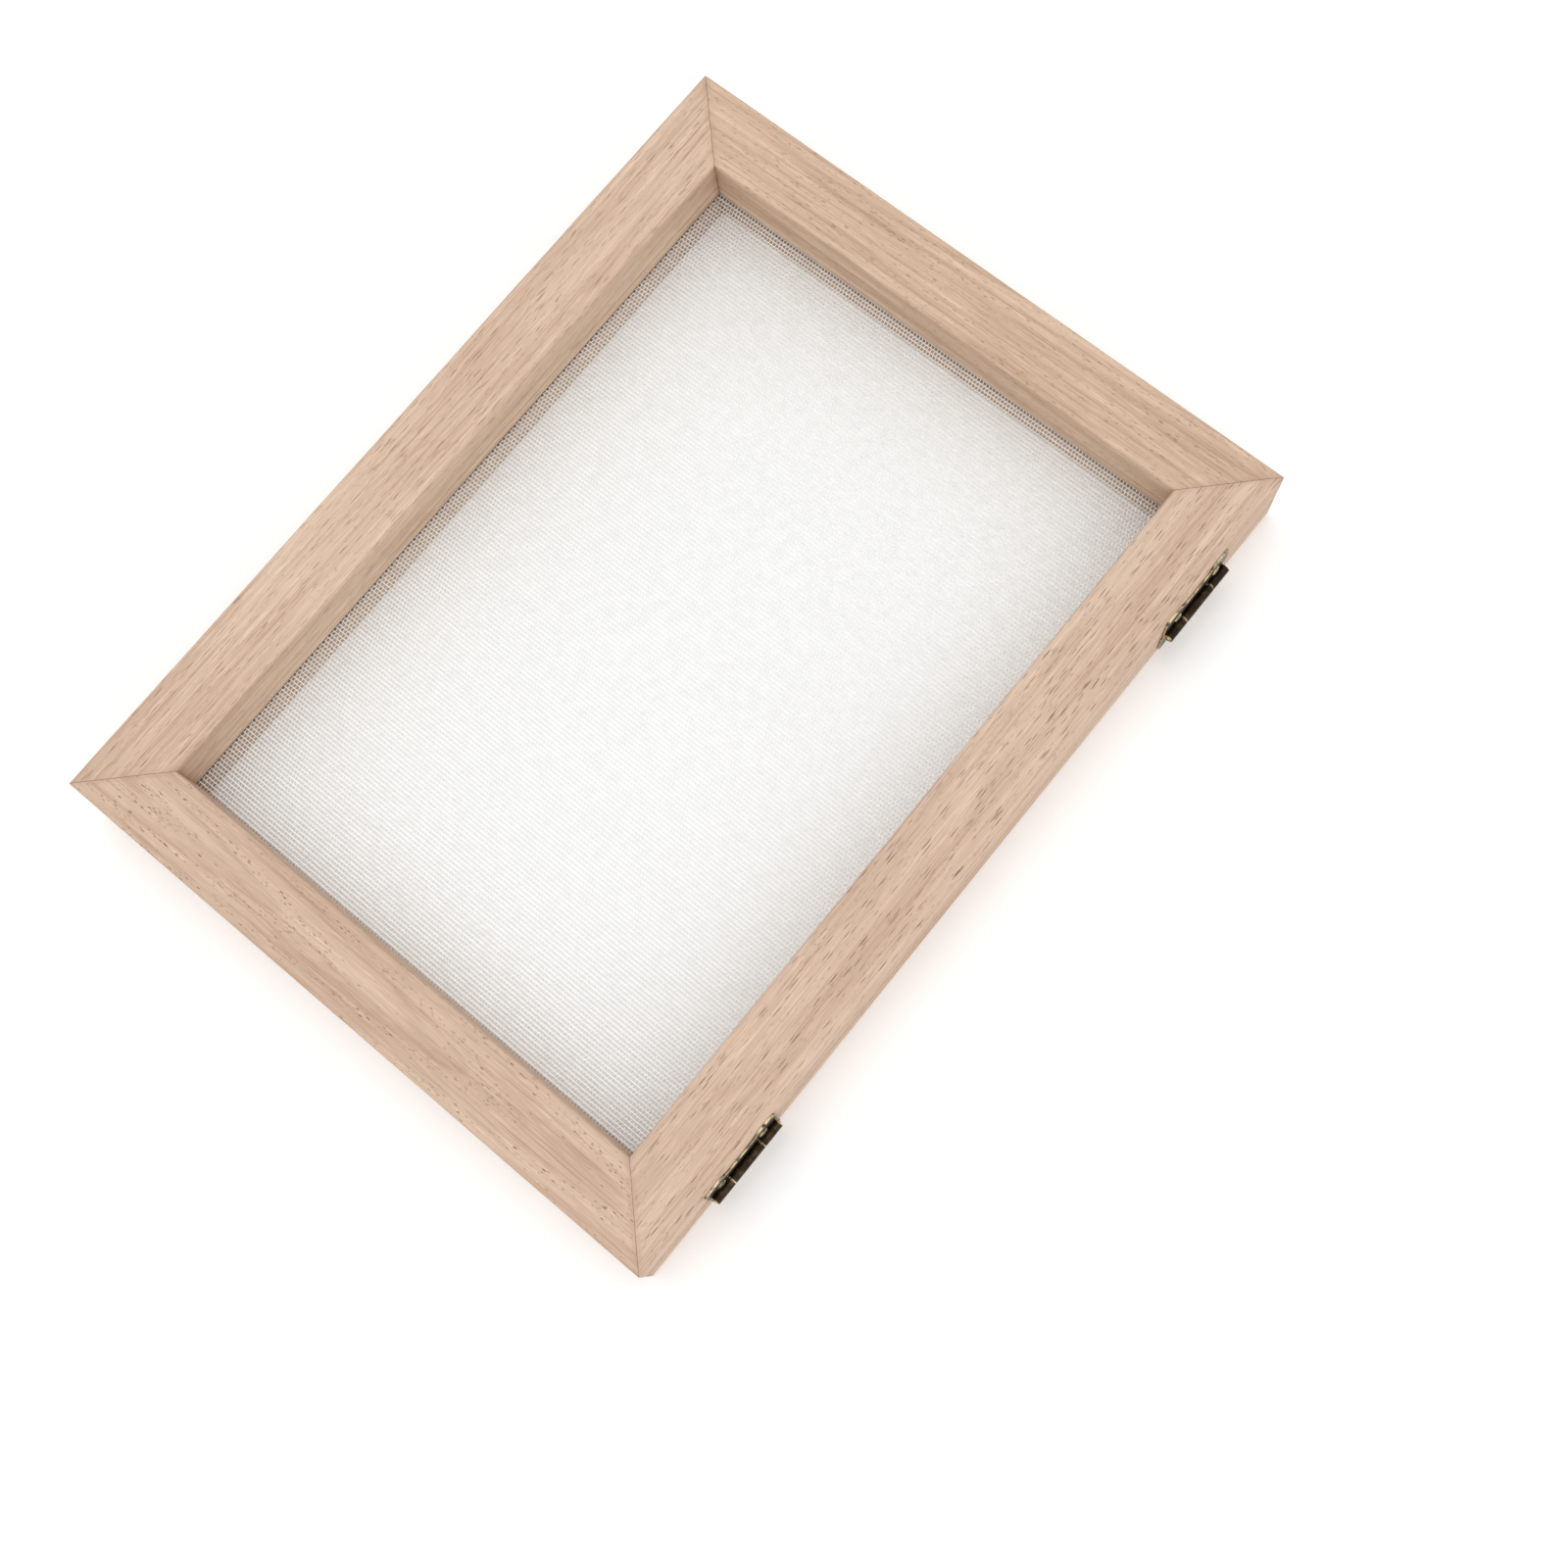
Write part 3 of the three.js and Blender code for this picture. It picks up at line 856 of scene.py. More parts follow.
class FasteningRow(SharedTree):
    """The Geometry Nodes tree that sets a row of copies of one fastening."""

    NAME = "Fastening row"

    @classmethod
    def _build(cls) -> NodeTree:
        """Builds the tree: points along a line, a fastening on each, added to what came before."""
        inputs = [
            Socket("Geometry", "NodeSocketGeometry"),
            Socket("Fastening", "NodeSocketObject"),
            Socket("Count", "NodeSocketInt", 1),
            Socket("Start", "NodeSocketVector"),
            Socket("Step", "NodeSocketVector"),
            number("Turn"),
            number("Tilt"),
            Socket("Seed", "NodeSocketInt", 0),
            Socket("Material", "NodeSocketMaterial"),
        ]
        tree = new_group(cls.NAME, "GeometryNodeTree", inputs, [Socket("Geometry", "NodeSocketGeometry")])
        take, give = ends_of(tree)
        wire = Wiring(tree)
        feeds = {"Count": take["Count"], "Start Location": take["Start"], "Offset": take["Step"]}
        points = wire.add("GeometryNodeMeshLine", feeds).outputs[0]
        least = wire.times(take["Tilt"], -1.0)
        feeds = {0: wire.thrice(least), 1: wire.thrice(take["Tilt"]), "Seed": take["Seed"]}
        tilts = wire.add("FunctionNodeRandomValue", feeds, data_type="FLOAT_VECTOR").outputs[0]
        turned = wire.vector("ADD", tilts, wire.combine(z=take["Turn"]))
        copy = wire.add("GeometryNodeObjectInfo", {"Object": take["Fastening"]}).outputs["Geometry"]
        feeds = {"Points": points, "Instance": copy, "Rotation": turned}
        copies = wire.add("GeometryNodeInstanceOnPoints", feeds).outputs[0]
        joined = wire.add("GeometryNodeJoinGeometry", {0: copies})
        tree.links.new(take["Geometry"], joined.inputs[0])
        real = wire.add("GeometryNodeRealizeInstances", {0: joined.outputs[0]}).outputs[0]
        feeds = {"Geometry": real, "Material": take["Material"]}
        tree.links.new(wire.add("GeometryNodeSetMaterial", feeds).outputs[0], give["Geometry"])
        return tree


def set_inputs(modifier: Modifier, tree: NodeTree, values: dict[str, object]) -> None:
    """Sets a Geometry Nodes modifier's inputs, by the names that the tree gives them."""
    modifier.node_group = tree
    for item in tree.interface.items_tree:
        if item.item_type == "SOCKET" and item.in_out == "INPUT" and item.name in values:
            modifier[item.identifier] = values[item.name]


def rows_of(name: str, fastening: Mesh, rows: list[dict], material: Material) -> Mesh:
    """Sets rows of one fastening and gives them as one plain mesh.

    Args:
        name: The mesh's name.
        fastening: The mesh of one fastening.
        rows: The Fastening row inputs of each row.
        material: The material.

    Returns:
        The mesh of all the copies.
    """
    sample = on_scene(name + "_sample", fastening)
    carrier = on_scene(name, bpy.data.meshes.new(name))
    for seed, row in enumerate(rows):
        modifier = carrier.modifiers.new(f"row {seed}", "NODES")
        values = {"Fastening": sample, "Seed": seed, "Material": material, **row}
        set_inputs(modifier, FasteningRow.tree(), values)
    mesh = evaluated(carrier, name)
    bpy.data.objects.remove(sample)
    mark_and_shade(mesh)
    return mesh


@dataclass(frozen=True)
class VNails:
    """The V-shaped steel nails that pull the mitres together, driven from the underside."""

    wing: float = 5.0 * MM
    sheet: float = 0.5 * MM
    edge: float = 0.14 * MM
    bevel_height: float = 1.2 * MM
    slot_play: float = 0.12 * MM
    slot_below: float = 1.0 * MM

    def places(self, layer: str) -> list[tuple[Vector, float, str]]:
        """Gives each corner's nail of one frame: the V's outer corner, its turn and its node."""
        found = []
        for name, way_x, way_y, quarters in (
            ("hinge_right", 1, -1, 3),
            ("opening_right", 1, 1, 0),
            ("opening_left", -1, 1, 1),
            ("hinge_left", -1, -1, 2),
        ):
            node = f"v_nail_{layer}_{name}"
            low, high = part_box(node)
            corner = Vector((low.x if way_x > 0 else high.x, low.y if way_y > 0 else high.y, low.z))
            found.append((corner, quarters * math.pi / 2, node))
        return found

    def outline(self, grown: float) -> list[tuple[float, float]]:
        """Gives the V's outline with its wings along +X and +Y, grown all round."""
        near, back, far = -grown, self.sheet + grown, self.wing + grown
        return [(near, near), (far, near), (far, back), (back, back), (back, far), (near, far)]

    def prism(self, outlines: list[tuple[list[tuple[float, float]], float]], name: str) -> Mesh:
        """Makes a solid through outlines of six points at rising heights."""
        points = [Vector((x, y, z)) for outline, z in outlines for x, y in outline]
        count = len(outlines[0][0])
        faces = [tuple(reversed(range(count))), tuple(range(len(points) - count, len(points)))]
        return mesh_from(points, faces + side_faces(count, len(outlines)), name)

    def nail(self, height: float) -> Mesh:
        """Makes one nail, ground to an edge along its top."""
        shrink = (self.sheet - self.edge) / 2
        square = self.outline(0.0)
        thin = self.outline(-shrink)
        levels = [(square, 0.0), (square, height - self.bevel_height), (thin, height)]
        return self.prism(levels, "v_nail")

    def slots(self, layer: str, underside: float) -> Object:
        """Makes the cutter of one frame's four slots, which are open at the underside."""
        joined = bmesh.new()
        for corner, turn, node in self.places(layer):
            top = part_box(node)[1].z + self.slot_play
            grown = self.outline(self.slot_play)
            solid = self.prism([(grown, underside - self.slot_below), (grown, top)], "slot")
            solid.transform(Matrix.Translation((corner.x, corner.y, 0.0)) @ Matrix.Rotation(turn, 4, "Z"))
            joined.from_mesh(solid)
        mesh = bpy.data.meshes.new("v_nail_slots")
        joined.to_mesh(mesh)
        joined.free()
        return on_scene("v_nail_slots", mesh)

    def build(self, layer: str, body: str, steel: Material) -> None:
        """Adds one frame's four nails as one piece."""
        places = self.places(layer)
        low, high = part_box(places[0][2])
        rows = [{"Start": corner, "Turn": turn} for corner, turn, _ in places]
        mesh = rows_of(f"v_nails_{layer}", self.nail(high.z - low.z), rows, steel)
        nodes = tuple(node for _, _, node in places)
        Piece(f"v_nails_{layer}", body, "fastener_steel", nodes).add(mesh, steel)


@dataclass(frozen=True)
class Staples:
    """The wire staples that hold the stretched net down in its seat."""

    wire: float = 0.6 * MM
    bend: float = 0.7 * MM
    bend_steps: int = 4
    chisel: float = 1.0 * MM
    tip: float = 0.12 * MM

    def path(self, crown: float, leg: float) -> list[tuple[float, float]]:
        """Gives the wire's centreline in X and Z, the crown's middle on top at the origin."""
        half = crown / 2 - self.wire / 2
        low = -leg + self.wire / 2
        found = [(-half, low), (-half, low + self.chisel)]
        for way in (-1, 1):
            for step in range(self.bend_steps + 1):
                angle = math.pi / 2 * step / self.bend_steps
                if way > 0:
                    angle = math.pi / 2 - angle
                x = way * (half - self.bend + self.bend * math.cos(angle))
                found.append((x, -self.bend + self.bend * math.sin(angle)))
        return [*found, (half, low + self.chisel), (half, low)]

    def staple(self, crown: float, leg: float) -> Mesh:
        """Makes one staple of square wire with chisel points.

        Args:
            crown: Its width over the legs.
            leg: Its height.

        Returns:
            The mesh, its crown's top at z = half the wire.
        """
        path = self.path(crown, leg)
        points = []
        for i, (x, z) in enumerate(path):
            before, after = path[max(i - 1, 0)], path[min(i + 1, len(path) - 1)]
            along = Vector((after[0] - before[0], after[1] - before[1])).normalized()
            thick = self.tip if i in (0, len(path) - 1) else self.wire
            for side, across in ((-1, -1), (1, -1), (1, 1), (-1, 1)):
                out = side * thick / 2
                points.append(Vector((x - along.y * out, across * self.wire / 2, z + along.x * out)))
        ends = [(0, 1, 2, 3), tuple(range(len(points) - 4, len(points)))]
        return mesh_from(points, side_faces(4, len(path)) + ends, "staple")

    def build(self, steel: Material) -> None:
        """Adds all the staples as one piece, in a row along each side."""
        rows, nodes = [], []
        for side in Side:
            prefix = f"screen_staple_{side.label}_"
            names = sorted(node for node in frame["nodes"] if node.startswith(prefix))
            boxes = [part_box(name) for name in names]
            tops = [Vector(((low.x + high.x) / 2, (low.y + high.y) / 2, high.z)) for low, high in boxes]
            start = tops[0] - Vector((0.0, 0.0, self.wire / 2))
            rows.append({"Count": len(names), "Start": start, "Step": tops[1] - tops[0], "Turn": side.turn})
            nodes += names
        low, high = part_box("screen_staple_hinge_side_1")
        sample = self.staple(high.x - low.x, high.z - low.z)
        mesh = rows_of("seat_staples", sample, rows, steel)
        Piece("seat_staples", "lower_frame", "fastener_steel", tuple(nodes)).add(mesh, steel)


# ---------------------------------------------------------------------------------------------
# Rails
# ---------------------------------------------------------------------------------------------


@dataclass(frozen=True)
class SectionCorner:
    """A corner of a rail's section: in from the outer face, up from the table, and how far eased."""

    inward: float
    height: float
    ease: float


@dataclass(frozen=True)
class Rails:
    """The mitred rails of all three layers, sanded by hand.

    Attributes:
        ease: The radius of a sanded arris.
        screen_ease: The rounder arris under the net.
        glue_ease: The barely broken arris of a glued edge.
        mitre_gap: Half of the open glue line at a mitre, square to it.
        mitre_ease: How far the edges of a mitre are broken.
        support: How far a flat's first edge line stands from the arris.
        seat_play: How far the net's edge lies from the wall of its seat.
        arc_steps: The steps round an arris.
        station_step: The distance between cross-sections along a rail.
        ease_swing: How much an arris varies along the rail, as a share.
        waver: How far the faces stray from flat.
        seam_reach: How far the dark glue line and the painted shade of the gap reach about the glued seam.
        net_dirt_reach: How far down the inner wall the painted shade under the net reaches.
    """

    sizes: FrameSizes
    wood: BareWood
    v_nails: VNails
    ease: float = 0.6 * MM
    screen_ease: float = 1.5 * MM
    glue_ease: float = 0.1 * MM
    mitre_gap: float = 0.03 * MM
    mitre_ease: float = 0.06 * MM
    support: float = 0.35 * MM
    seat_play: float = 0.5 * MM
    arc_steps: int = 4
    station_step: float = 2.5 * MM
    ease_swing: float = 0.14
    waver: float = 0.02 * MM
    seam_reach: float = 0.44 * MM
    net_dirt_reach: float = 1.9 * MM

    WEAR_PER_METRE = 45
    DRIFT_PER_METRE = 60
    CORNER_SEED_STEP = 7.3
    SIDE_SEED_STEP = 3.1
    LAYER_SEED_STEP = 17

    def section(self, layer: Layer, side: Side) -> list[SectionCorner]:
        """Gives the corners of a layer's section, from the outer lower one round to the inner side."""
        low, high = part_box(f"{layer.prefix}_{side.label}")
        wide = self.sizes.rail_width
        if layer is Layer.UPPER_RAIL:
            lower_ease = upper_ease = self.ease
        elif layer is Layer.STRIP:
            lower_ease, upper_ease = self.glue_ease, self.ease
        else:
            return self._seated_section(low.z, high.z)
        return [
            SectionCorner(0.0, low.z, lower_ease),
            SectionCorner(wide, low.z, lower_ease),
            SectionCorner(wide, high.z, upper_ease),
            SectionCorner(0.0, high.z, upper_ease),
        ]

    def _seated_section(self, bottom: float, top: float) -> list[SectionCorner]:
        """Gives the lower rail's section, with the shallow seat that the net lies in."""
        wide = self.sizes.rail_width
        net_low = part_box("mesh_screen")[0]
        land = net_low.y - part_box("lower_rail_hinge_side")[0].y - self.seat_play
        return [
            SectionCorner(0.0, bottom, self.ease),
            SectionCorner(wide, bottom, self.ease),
            SectionCorner(wide, net_low.z, self.screen_ease),
            SectionCorner(land, net_low.z, 0.0),
            SectionCorner(land, top, self.glue_ease),
            SectionCorner(0.0, top, self.glue_ease),
        ]

    def _outline(self, corners: list[SectionCorner]) -> list[tuple[Vector, Vector, int]]:
        """Rounds the corners. Each point is its corner, its offset from it and the corner's number."""
        found = []
        for i, corner in enumerate(corners):
            here = Vector((corner.inward, corner.height))
            before, after = corners[i - 1], corners[(i + 1) % len(corners)]
            back = (Vector((before.inward, before.height)) - here).normalized()
            on = (Vector((after.inward, after.height)) - here).normalized()
            if corner.ease == 0:
                found.append((here, Vector((0.0, 0.0)), i))
                continue
            found.append((here, back * (corner.ease + self.support), i))
            for step in range(self.arc_steps + 1):
                angle = math.pi / 2 * step / self.arc_steps
                offset = back * (1 - math.sin(angle)) + on * (1 - math.cos(angle))
                found.append((here, offset * corner.ease, i))
            found.append((here, on * (corner.ease + self.support), i))
        return found

    def _stations(self, length: float) -> list[tuple[float, float, float]]:
        """Gives each cross-section: its share of the way along, how far short of the end, its inset."""
        count = round(length / self.station_step)
        inner = [(-1 + 2 * i / count, 0.0, 0.0) for i in range(1, count)]
        start = [(-1.0, 0.0, self.mitre_ease), (-1.0, self.mitre_ease, 0.0)]
        end = [(1.0, self.mitre_ease, 0.0), (1.0, 0.0, self.mitre_ease)]
        return start + inner + end

    def rail(self, layer: Layer, side: Side, seed: float) -> Mesh:
        """Makes one rail in its place.

        Args:
            layer: Its layer.
            side: Its side of the frame.
            seed: Where it takes its unevenness from.

        Returns:
            The mesh.
        """
        corners = self.section(layer, side)
        outline = self._outline(corners)
        length = self.sizes.outer_length(side)
        half = length / 2
        middle = Vector((self.sizes.rail_width / 2, (corners[0].height + corners[-1].height) / 2))
        points = []
        for share, short, inset in self._stations(length):
            for corner, offset, number_of in outline:
                spot = (share * half * self.WEAR_PER_METRE, number_of * self.CORNER_SEED_STEP, seed)
                wear = noise.noise(Vector(spot))
                flat = corner + offset * (1 + self.ease_swing * wear)
                flat -= Vector([math.copysign(inset, away) for away in flat - middle])
                reach = half - flat.x - self.mitre_gap * math.sqrt(2) - short
                place = Vector((share * reach, flat.x, flat.y))
                drift = noise.noise_vector(place * self.DRIFT_PER_METRE + Vector((seed, 0.0, 0.0)))
                points.append(place + Vector((0.0, drift.y, drift.z)) * self.waver)
        count = len(outline)
        faces = [tuple(range(count)), tuple(range(len(points) - count, len(points)))]
        faces += side_faces(count, len(points) // count)
        mesh = mesh_from(points, faces, f"{layer.prefix}_{side.label}")
        mesh.transform(self.sizes.place(side))
        return mesh

    def mark_seam(self, mesh: Mesh, layer: Layer) -> None:
        """Stores how much each point is darkened: a dark glue line with painted shade in the gap at the glued
        seam, and painted shade on the arris under the net.

        Args:
            mesh: A rail's mesh.
            layer: Its layer.
        """
        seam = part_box("screen_strip_left")[0].z
        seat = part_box("mesh_screen")[0].z
        values = []
        for point in mesh.vertices:
            height = point.co.z
            # A dark glue line with painted shade in the gap, in a band about the glued seam.
            near = 1 - abs(height - seam) / self.seam_reach
            # Painted shade: the lower rail's inner arris under the net is darkened down from the seat.
            if layer is Layer.LOWER_RAIL and self._under_net(point.co) and height < seat + self.waver:
                near = max(near, 1 - (seat - height) / self.net_dirt_reach)
            values.append(max(0.0, near))
        stored = mesh.attributes.new(SEAM_AND_SHADE, "FLOAT", "POINT")
        stored.data.foreach_set("value", values)

    def _under_net(self, point: Vector) -> bool:
        """Says whether a point is on the inner arris that the net lies over."""
        sizes = self.sizes
        off = point - sizes.middle
        inward = min(sizes.length / 2 - abs(off.x), sizes.width / 2 - abs(off.y))
        return inward > sizes.rail_width - self.screen_ease - self.support

    def _slotted(self, mesh: Mesh, cutter: Object) -> Mesh:
        """Cuts the V-nails' slots out of a rail."""
        carrier = on_scene(mesh.name, mesh)
        cut = carrier.modifiers.new("slots", "BOOLEAN")
        cut.operation = "DIFFERENCE"
        cut.solver = "EXACT"
        cut.object = cutter
        return evaluated(carrier, mesh.name)

    def build(self, layer: Layer, planks: dict[Side, Plank]) -> None:
        """Adds the four rails of one layer.

        Args:
            layer: The layer.
            planks: How each side's rail was cut.
        """
        nailed = {Layer.LOWER_RAIL: "lower", Layer.UPPER_RAIL: "upper"}.get(layer)
        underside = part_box(f"{layer.prefix}_{Side.HINGE_SIDE.label}")[0].z
        cutter = self.v_nails.slots(nailed, underside) if nailed else None
        for number_of, side in enumerate(Side):
            node = f"{layer.prefix}_{side.label}"
            seed = self.SIDE_SEED_STEP * number_of + self.LAYER_SEED_STEP * len(layer.prefix)
            mesh = self.rail(layer, side, seed)
            if cutter:
                mesh = self._slotted(mesh, cutter)
            mark_and_shade(mesh)
            self.mark_seam(mesh, layer)
            low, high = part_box(node)
            middle = Vector(((low.x + high.x) / 2, (low.y + high.y) / 2, high.z))
            material = self.wood.material(f"{node} wood", planks[side], side, middle)
            Piece(f"{node}_board", layer.body, layer.slot, (node,)).add(mesh, material)
        if cutter:
            bpy.data.objects.remove(cutter)


# ---------------------------------------------------------------------------------------------
# Net
# ---------------------------------------------------------------------------------------------


class NetThreads(SharedTree):
    """The Geometry Nodes tree of the net's wales and cross threads.

    A wale is one straight three-sided thread along Y, in place of a knitted chain of loops. The cross
    threads run along X, through the wales, and turn between every two of them, to one side and to the
    other in turn, so that the holes of neighbouring columns lie half a cell apart. Where the net is
    clamped they run straight. They are made along Y and then turned.
    """

    NAME = "Net threads"

    @classmethod
    def _build(cls) -> NodeTree:
        """Builds the tree."""
        inputs = [
            Socket("Wales", "NodeSocketInt", 10),
            number("Wale Step"),
            number("Wale Radius"),
            number("Half Length"),
            Socket("Cross Threads", "NodeSocketInt", 10),
            number("Cross Step"),
            number("Cross Radius"),
            number("Half Width"),
            Socket("Turns", "NodeSocketInt", 10),
            number("Swing"),
            number("Rise"),
            number("Waver"),
            number("Waver Size", 0.01),
            Socket("Middle", "NodeSocketVector"),
            Socket("Border Threads", "NodeSocketInt", 2),
            Socket("Material", "NodeSocketMaterial"),
        ]
        tree = new_group(cls.NAME, "GeometryNodeTree", inputs, [Socket("Geometry", "NodeSocketGeometry")])
        take, give = ends_of(tree)
        wire = Wiring(tree)
        first = cls._first(wire, take["Wales"], take["Wale Step"])
        wales = cls._straights(wire, take["Wales"], first, take["Wale Step"], take["Half Length"])
        crossings = wire.add("GeometryNodeJoinGeometry", {0: cls._zigzags(wire, take)})
        for way in (-1.0, 1.0):
            tree.links.new(cls._border(wire, take, way), crossings.inputs[0])
        across = {"Geometry": crossings.outputs[0], "Rotation": (0.0, 0.0, math.pi / 2)}
        turned = wire.add("GeometryNodeTransform", across).outputs[0]
        joined = wire.add("GeometryNodeJoinGeometry", {0: cls._tubes(wire, wales, take["Wale Radius"])})
        tree.links.new(cls._tubes(wire, turned, take["Cross Radius"]), joined.inputs[0])
        feeds = {"Geometry": joined.outputs[0], "Translation": take["Middle"]}
        moved = wire.add("GeometryNodeTransform", feeds)
        real = wire.add("GeometryNodeRealizeInstances", {0: moved.outputs[0]}).outputs[0]
        feeds = {"Geometry": real, "Material": take["Material"]}
        tree.links.new(wire.add("GeometryNodeSetMaterial", feeds).outputs[0], give["Geometry"])
        return tree

    @staticmethod
    def _tubes(wire: Wiring, lines: NodeSocket, radius: object) -> NodeSocket:
        """Turns lines into closed threads, shaded flat because three sides lose light if shaded round."""
        section = wire.add("GeometryNodeCurvePrimitiveCircle", {"Resolution": 3, "Radius": radius})
        feeds = {"Curve": lines, "Profile Curve": section.outputs[0], "Fill Caps": True}
        tubes = wire.add("GeometryNodeCurveToMesh", feeds).outputs[0]
        return wire.add("GeometryNodeSetShadeSmooth", {"Geometry": tubes, "Shade Smooth": False}).outputs[0]

    @staticmethod
    def _first(wire: Wiring, count: object, step: object) -> NodeSocket:
        """Places the first of a row of lines so that the row lies about the middle."""
        return wire.times(wire.times(wire.minus(count, 1.0), -0.5), step)

    @staticmethod
    def _lines(wire: Wiring, count: object, points: object, first: object, step: object) -> NodeSocket:
        """Sets a row of lines along Y, each with this many points."""
        line = wire.add("GeometryNodeCurvePrimitiveLine", {"Start": (0.0, -1.0, 0.0), "End": (0.0, 1.0, 0.0)})
        line = wire.add("GeometryNodeResampleCurve", {"Curve": line.outputs[0], "Count": points})
        feeds = {"Count": count, "Start Location": wire.combine(first), "Offset": wire.combine(step)}
        row = wire.add("GeometryNodeMeshLine", feeds).outputs[0]
        copies = wire.add("GeometryNodeInstanceOnPoints", {"Points": row, "Instance": line.outputs[0]})
        return wire.add("GeometryNodeRealizeInstances", {0: copies.outputs[0]}).outputs[0]

    @classmethod
    def _zigzags(cls, wire: Wiring, take: NodeInputs) -> NodeSocket:
        """Makes the threads that zigzag over the window and run straight into the clamped edges."""
        per_thread = wire.plus(take["Turns"], 2.0)
        first_line = cls._first(wire, take["Cross Threads"], take["Cross Step"])
        lines = cls._lines(wire, take["Cross Threads"], per_thread, first_line, take["Cross Step"])
        index = wire.add("GeometryNodeInputIndex").outputs[0]
        turn = wire.math("MODULO", index, per_thread)
        first = wire.math("LESS_THAN", turn, 0.5)
        last = wire.math("GREATER_THAN", turn, wire.minus(per_thread, 1.5))
        is_end = wire.math("MAXIMUM", first, last)
        inside = wire.minus(1.0, is_end)
        middle_turn = wire.times(wire.minus(per_thread, 1.0), 0.5)
        along = wire.times(wire.minus(turn, middle_turn), take["Wale Step"])
        edge = wire.times(wire.minus(last, first), take["Half Width"])
        along = wire.plus(wire.times(along, inside), edge)
        odd = wire.math("MODULO", turn, 2.0)
        way = wire.times(wire.minus(wire.times(odd, 2.0), 1.0), inside)
        start_x = wire.separate(wire.add("GeometryNodeInputPosition").outputs[0])[0]
        x = wire.plus(start_x, wire.times(way, take["Swing"]))
        z = wire.times(way, take["Rise"])
        place = wire.combine(x, along, z)
        stretches = wire.vector("DIVIDE", place, wire.thrice(take["Waver Size"]))
        uneven = wire.noise(stretches, 1.0).outputs[1]
        uneven = wire.vector("MULTIPLY", wire.vector("SUBTRACT", uneven, (0.5, 0.5, 0.5)), (1.0, 1.0, 0.0))
        size = wire.times(take["Waver"], inside)
        uneven = wire.vector("MULTIPLY", uneven, wire.thrice(size))
        feeds = {"Geometry": lines, "Position": wire.vector("ADD", place, uneven)}
        return wire.add("GeometryNodeSetPosition", feeds).outputs[0]

    @classmethod
    def _border(cls, wire: Wiring, take: NodeInputs, way: float) -> NodeSocket:
        """Makes the straight cross threads of one clamped side."""
        steps_out = wire.times(wire.plus(take["Cross Threads"], 1.0), way / 2)
        first = wire.times(steps_out, take["Cross Step"])
        step = wire.times(take["Cross Step"], way)
        return cls._straights(wire, take["Border Threads"], first, step, take["Half Width"])

    @classmethod
    def _straights(cls, wire: Wiring, count: object, first: object, step: object, half: object) -> NodeSocket:
        """Makes a row of straight threads along Y, each this half long."""
        lines = cls._lines(wire, count, 2, first, step)
        length = wire.combine(1.0, half, 1.0)
        place = wire.vector("MULTIPLY", wire.add("GeometryNodeInputPosition").outputs[0], length)
        return wire.add("GeometryNodeSetPosition", {"Geometry": lines, "Position": place}).outputs[0]


@dataclass(frozen=True)
class Net:
    """The knitted nylon net, stretched over the window and clamped round its edges.

    Attributes:
        wale_step: The distance between neighbouring wales.
        cell_length: The length of a cell along the wales.
        wale: The diameter of the circle round a wale.
        cross_thread: The diameter of the circle round a cross thread.
        rise: How far a cross thread's turns lie above and below the net's middle plane.
        under_strip: How far the cells go on under the strips.
        waver: The width of the band that the turns stray in.
        waver_size: The size of the stretches that stray together.
    """

    sizes: FrameSizes
    wale_step: float = 1.124 * MM
    cell_length: float = 1.015 * MM
    wale: float = 0.36 * MM
    cross_thread: float = 0.28 * MM
    rise: float = 0.05 * MM
    under_strip: float = 1.2 * MM
    waver: float = 0.05 * MM
    waver_size: float = 7.0 * MM

    def _inputs(self) -> dict[str, object]:
        """Works out the tree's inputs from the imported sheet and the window."""
        low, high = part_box("mesh_screen")
        half_width, half_length = (high.x - low.x) / 2, (high.y - low.y) / 2
        window_x = self.sizes.length - 2 * self.sizes.rail_width + 2 * self.under_strip
        window_y = self.sizes.width - 2 * self.sizes.rail_width + 2 * self.under_strip
        columns = round(window_x / self.wale_step)
        rows = round(window_y / self.cell_length)
        outer_wales = int((half_width - self.wale / 2) / self.wale_step - columns / 2)
        outer_rows = int((half_length - self.cross_thread / 2) / self.cell_length - (rows - 1) / 2)
        return {
            "Wales": columns + 1 + 2 * outer_wales,
            "Wale Step": self.wale_step,
            "Wale Radius": self.wale / 2,
            "Half Length": half_length,
            "Cross Threads": rows,
            "Cross Step": self.cell_length,
            "Cross Radius": self.cross_thread / 2,
            "Half Width": half_width,
            "Turns": columns,
            "Swing": self.cell_length / 4,
            "Rise": self.rise,
            "Waver": self.waver,
            "Waver Size": self.waver_size,
            "Middle": (low + high) / 2,
            "Border Threads": outer_rows,
        }

    def build(self, nylon: Material) -> None:
        name = "screen_net"
        carrier = on_scene(name, bpy.data.meshes.new(name))
        modifier = carrier.modifiers.new("threads", "NODES")
        set_inputs(modifier, NetThreads.tree(), {**self._inputs(), "Material": nylon})
        net = Piece(name, "lower_frame", "screen_mesh", ("mesh_screen",))
        piece = net.add(evaluated(carrier, name), nylon)


# ---------------------------------------------------------------------------------------------
# Hinges
# ---------------------------------------------------------------------------------------------


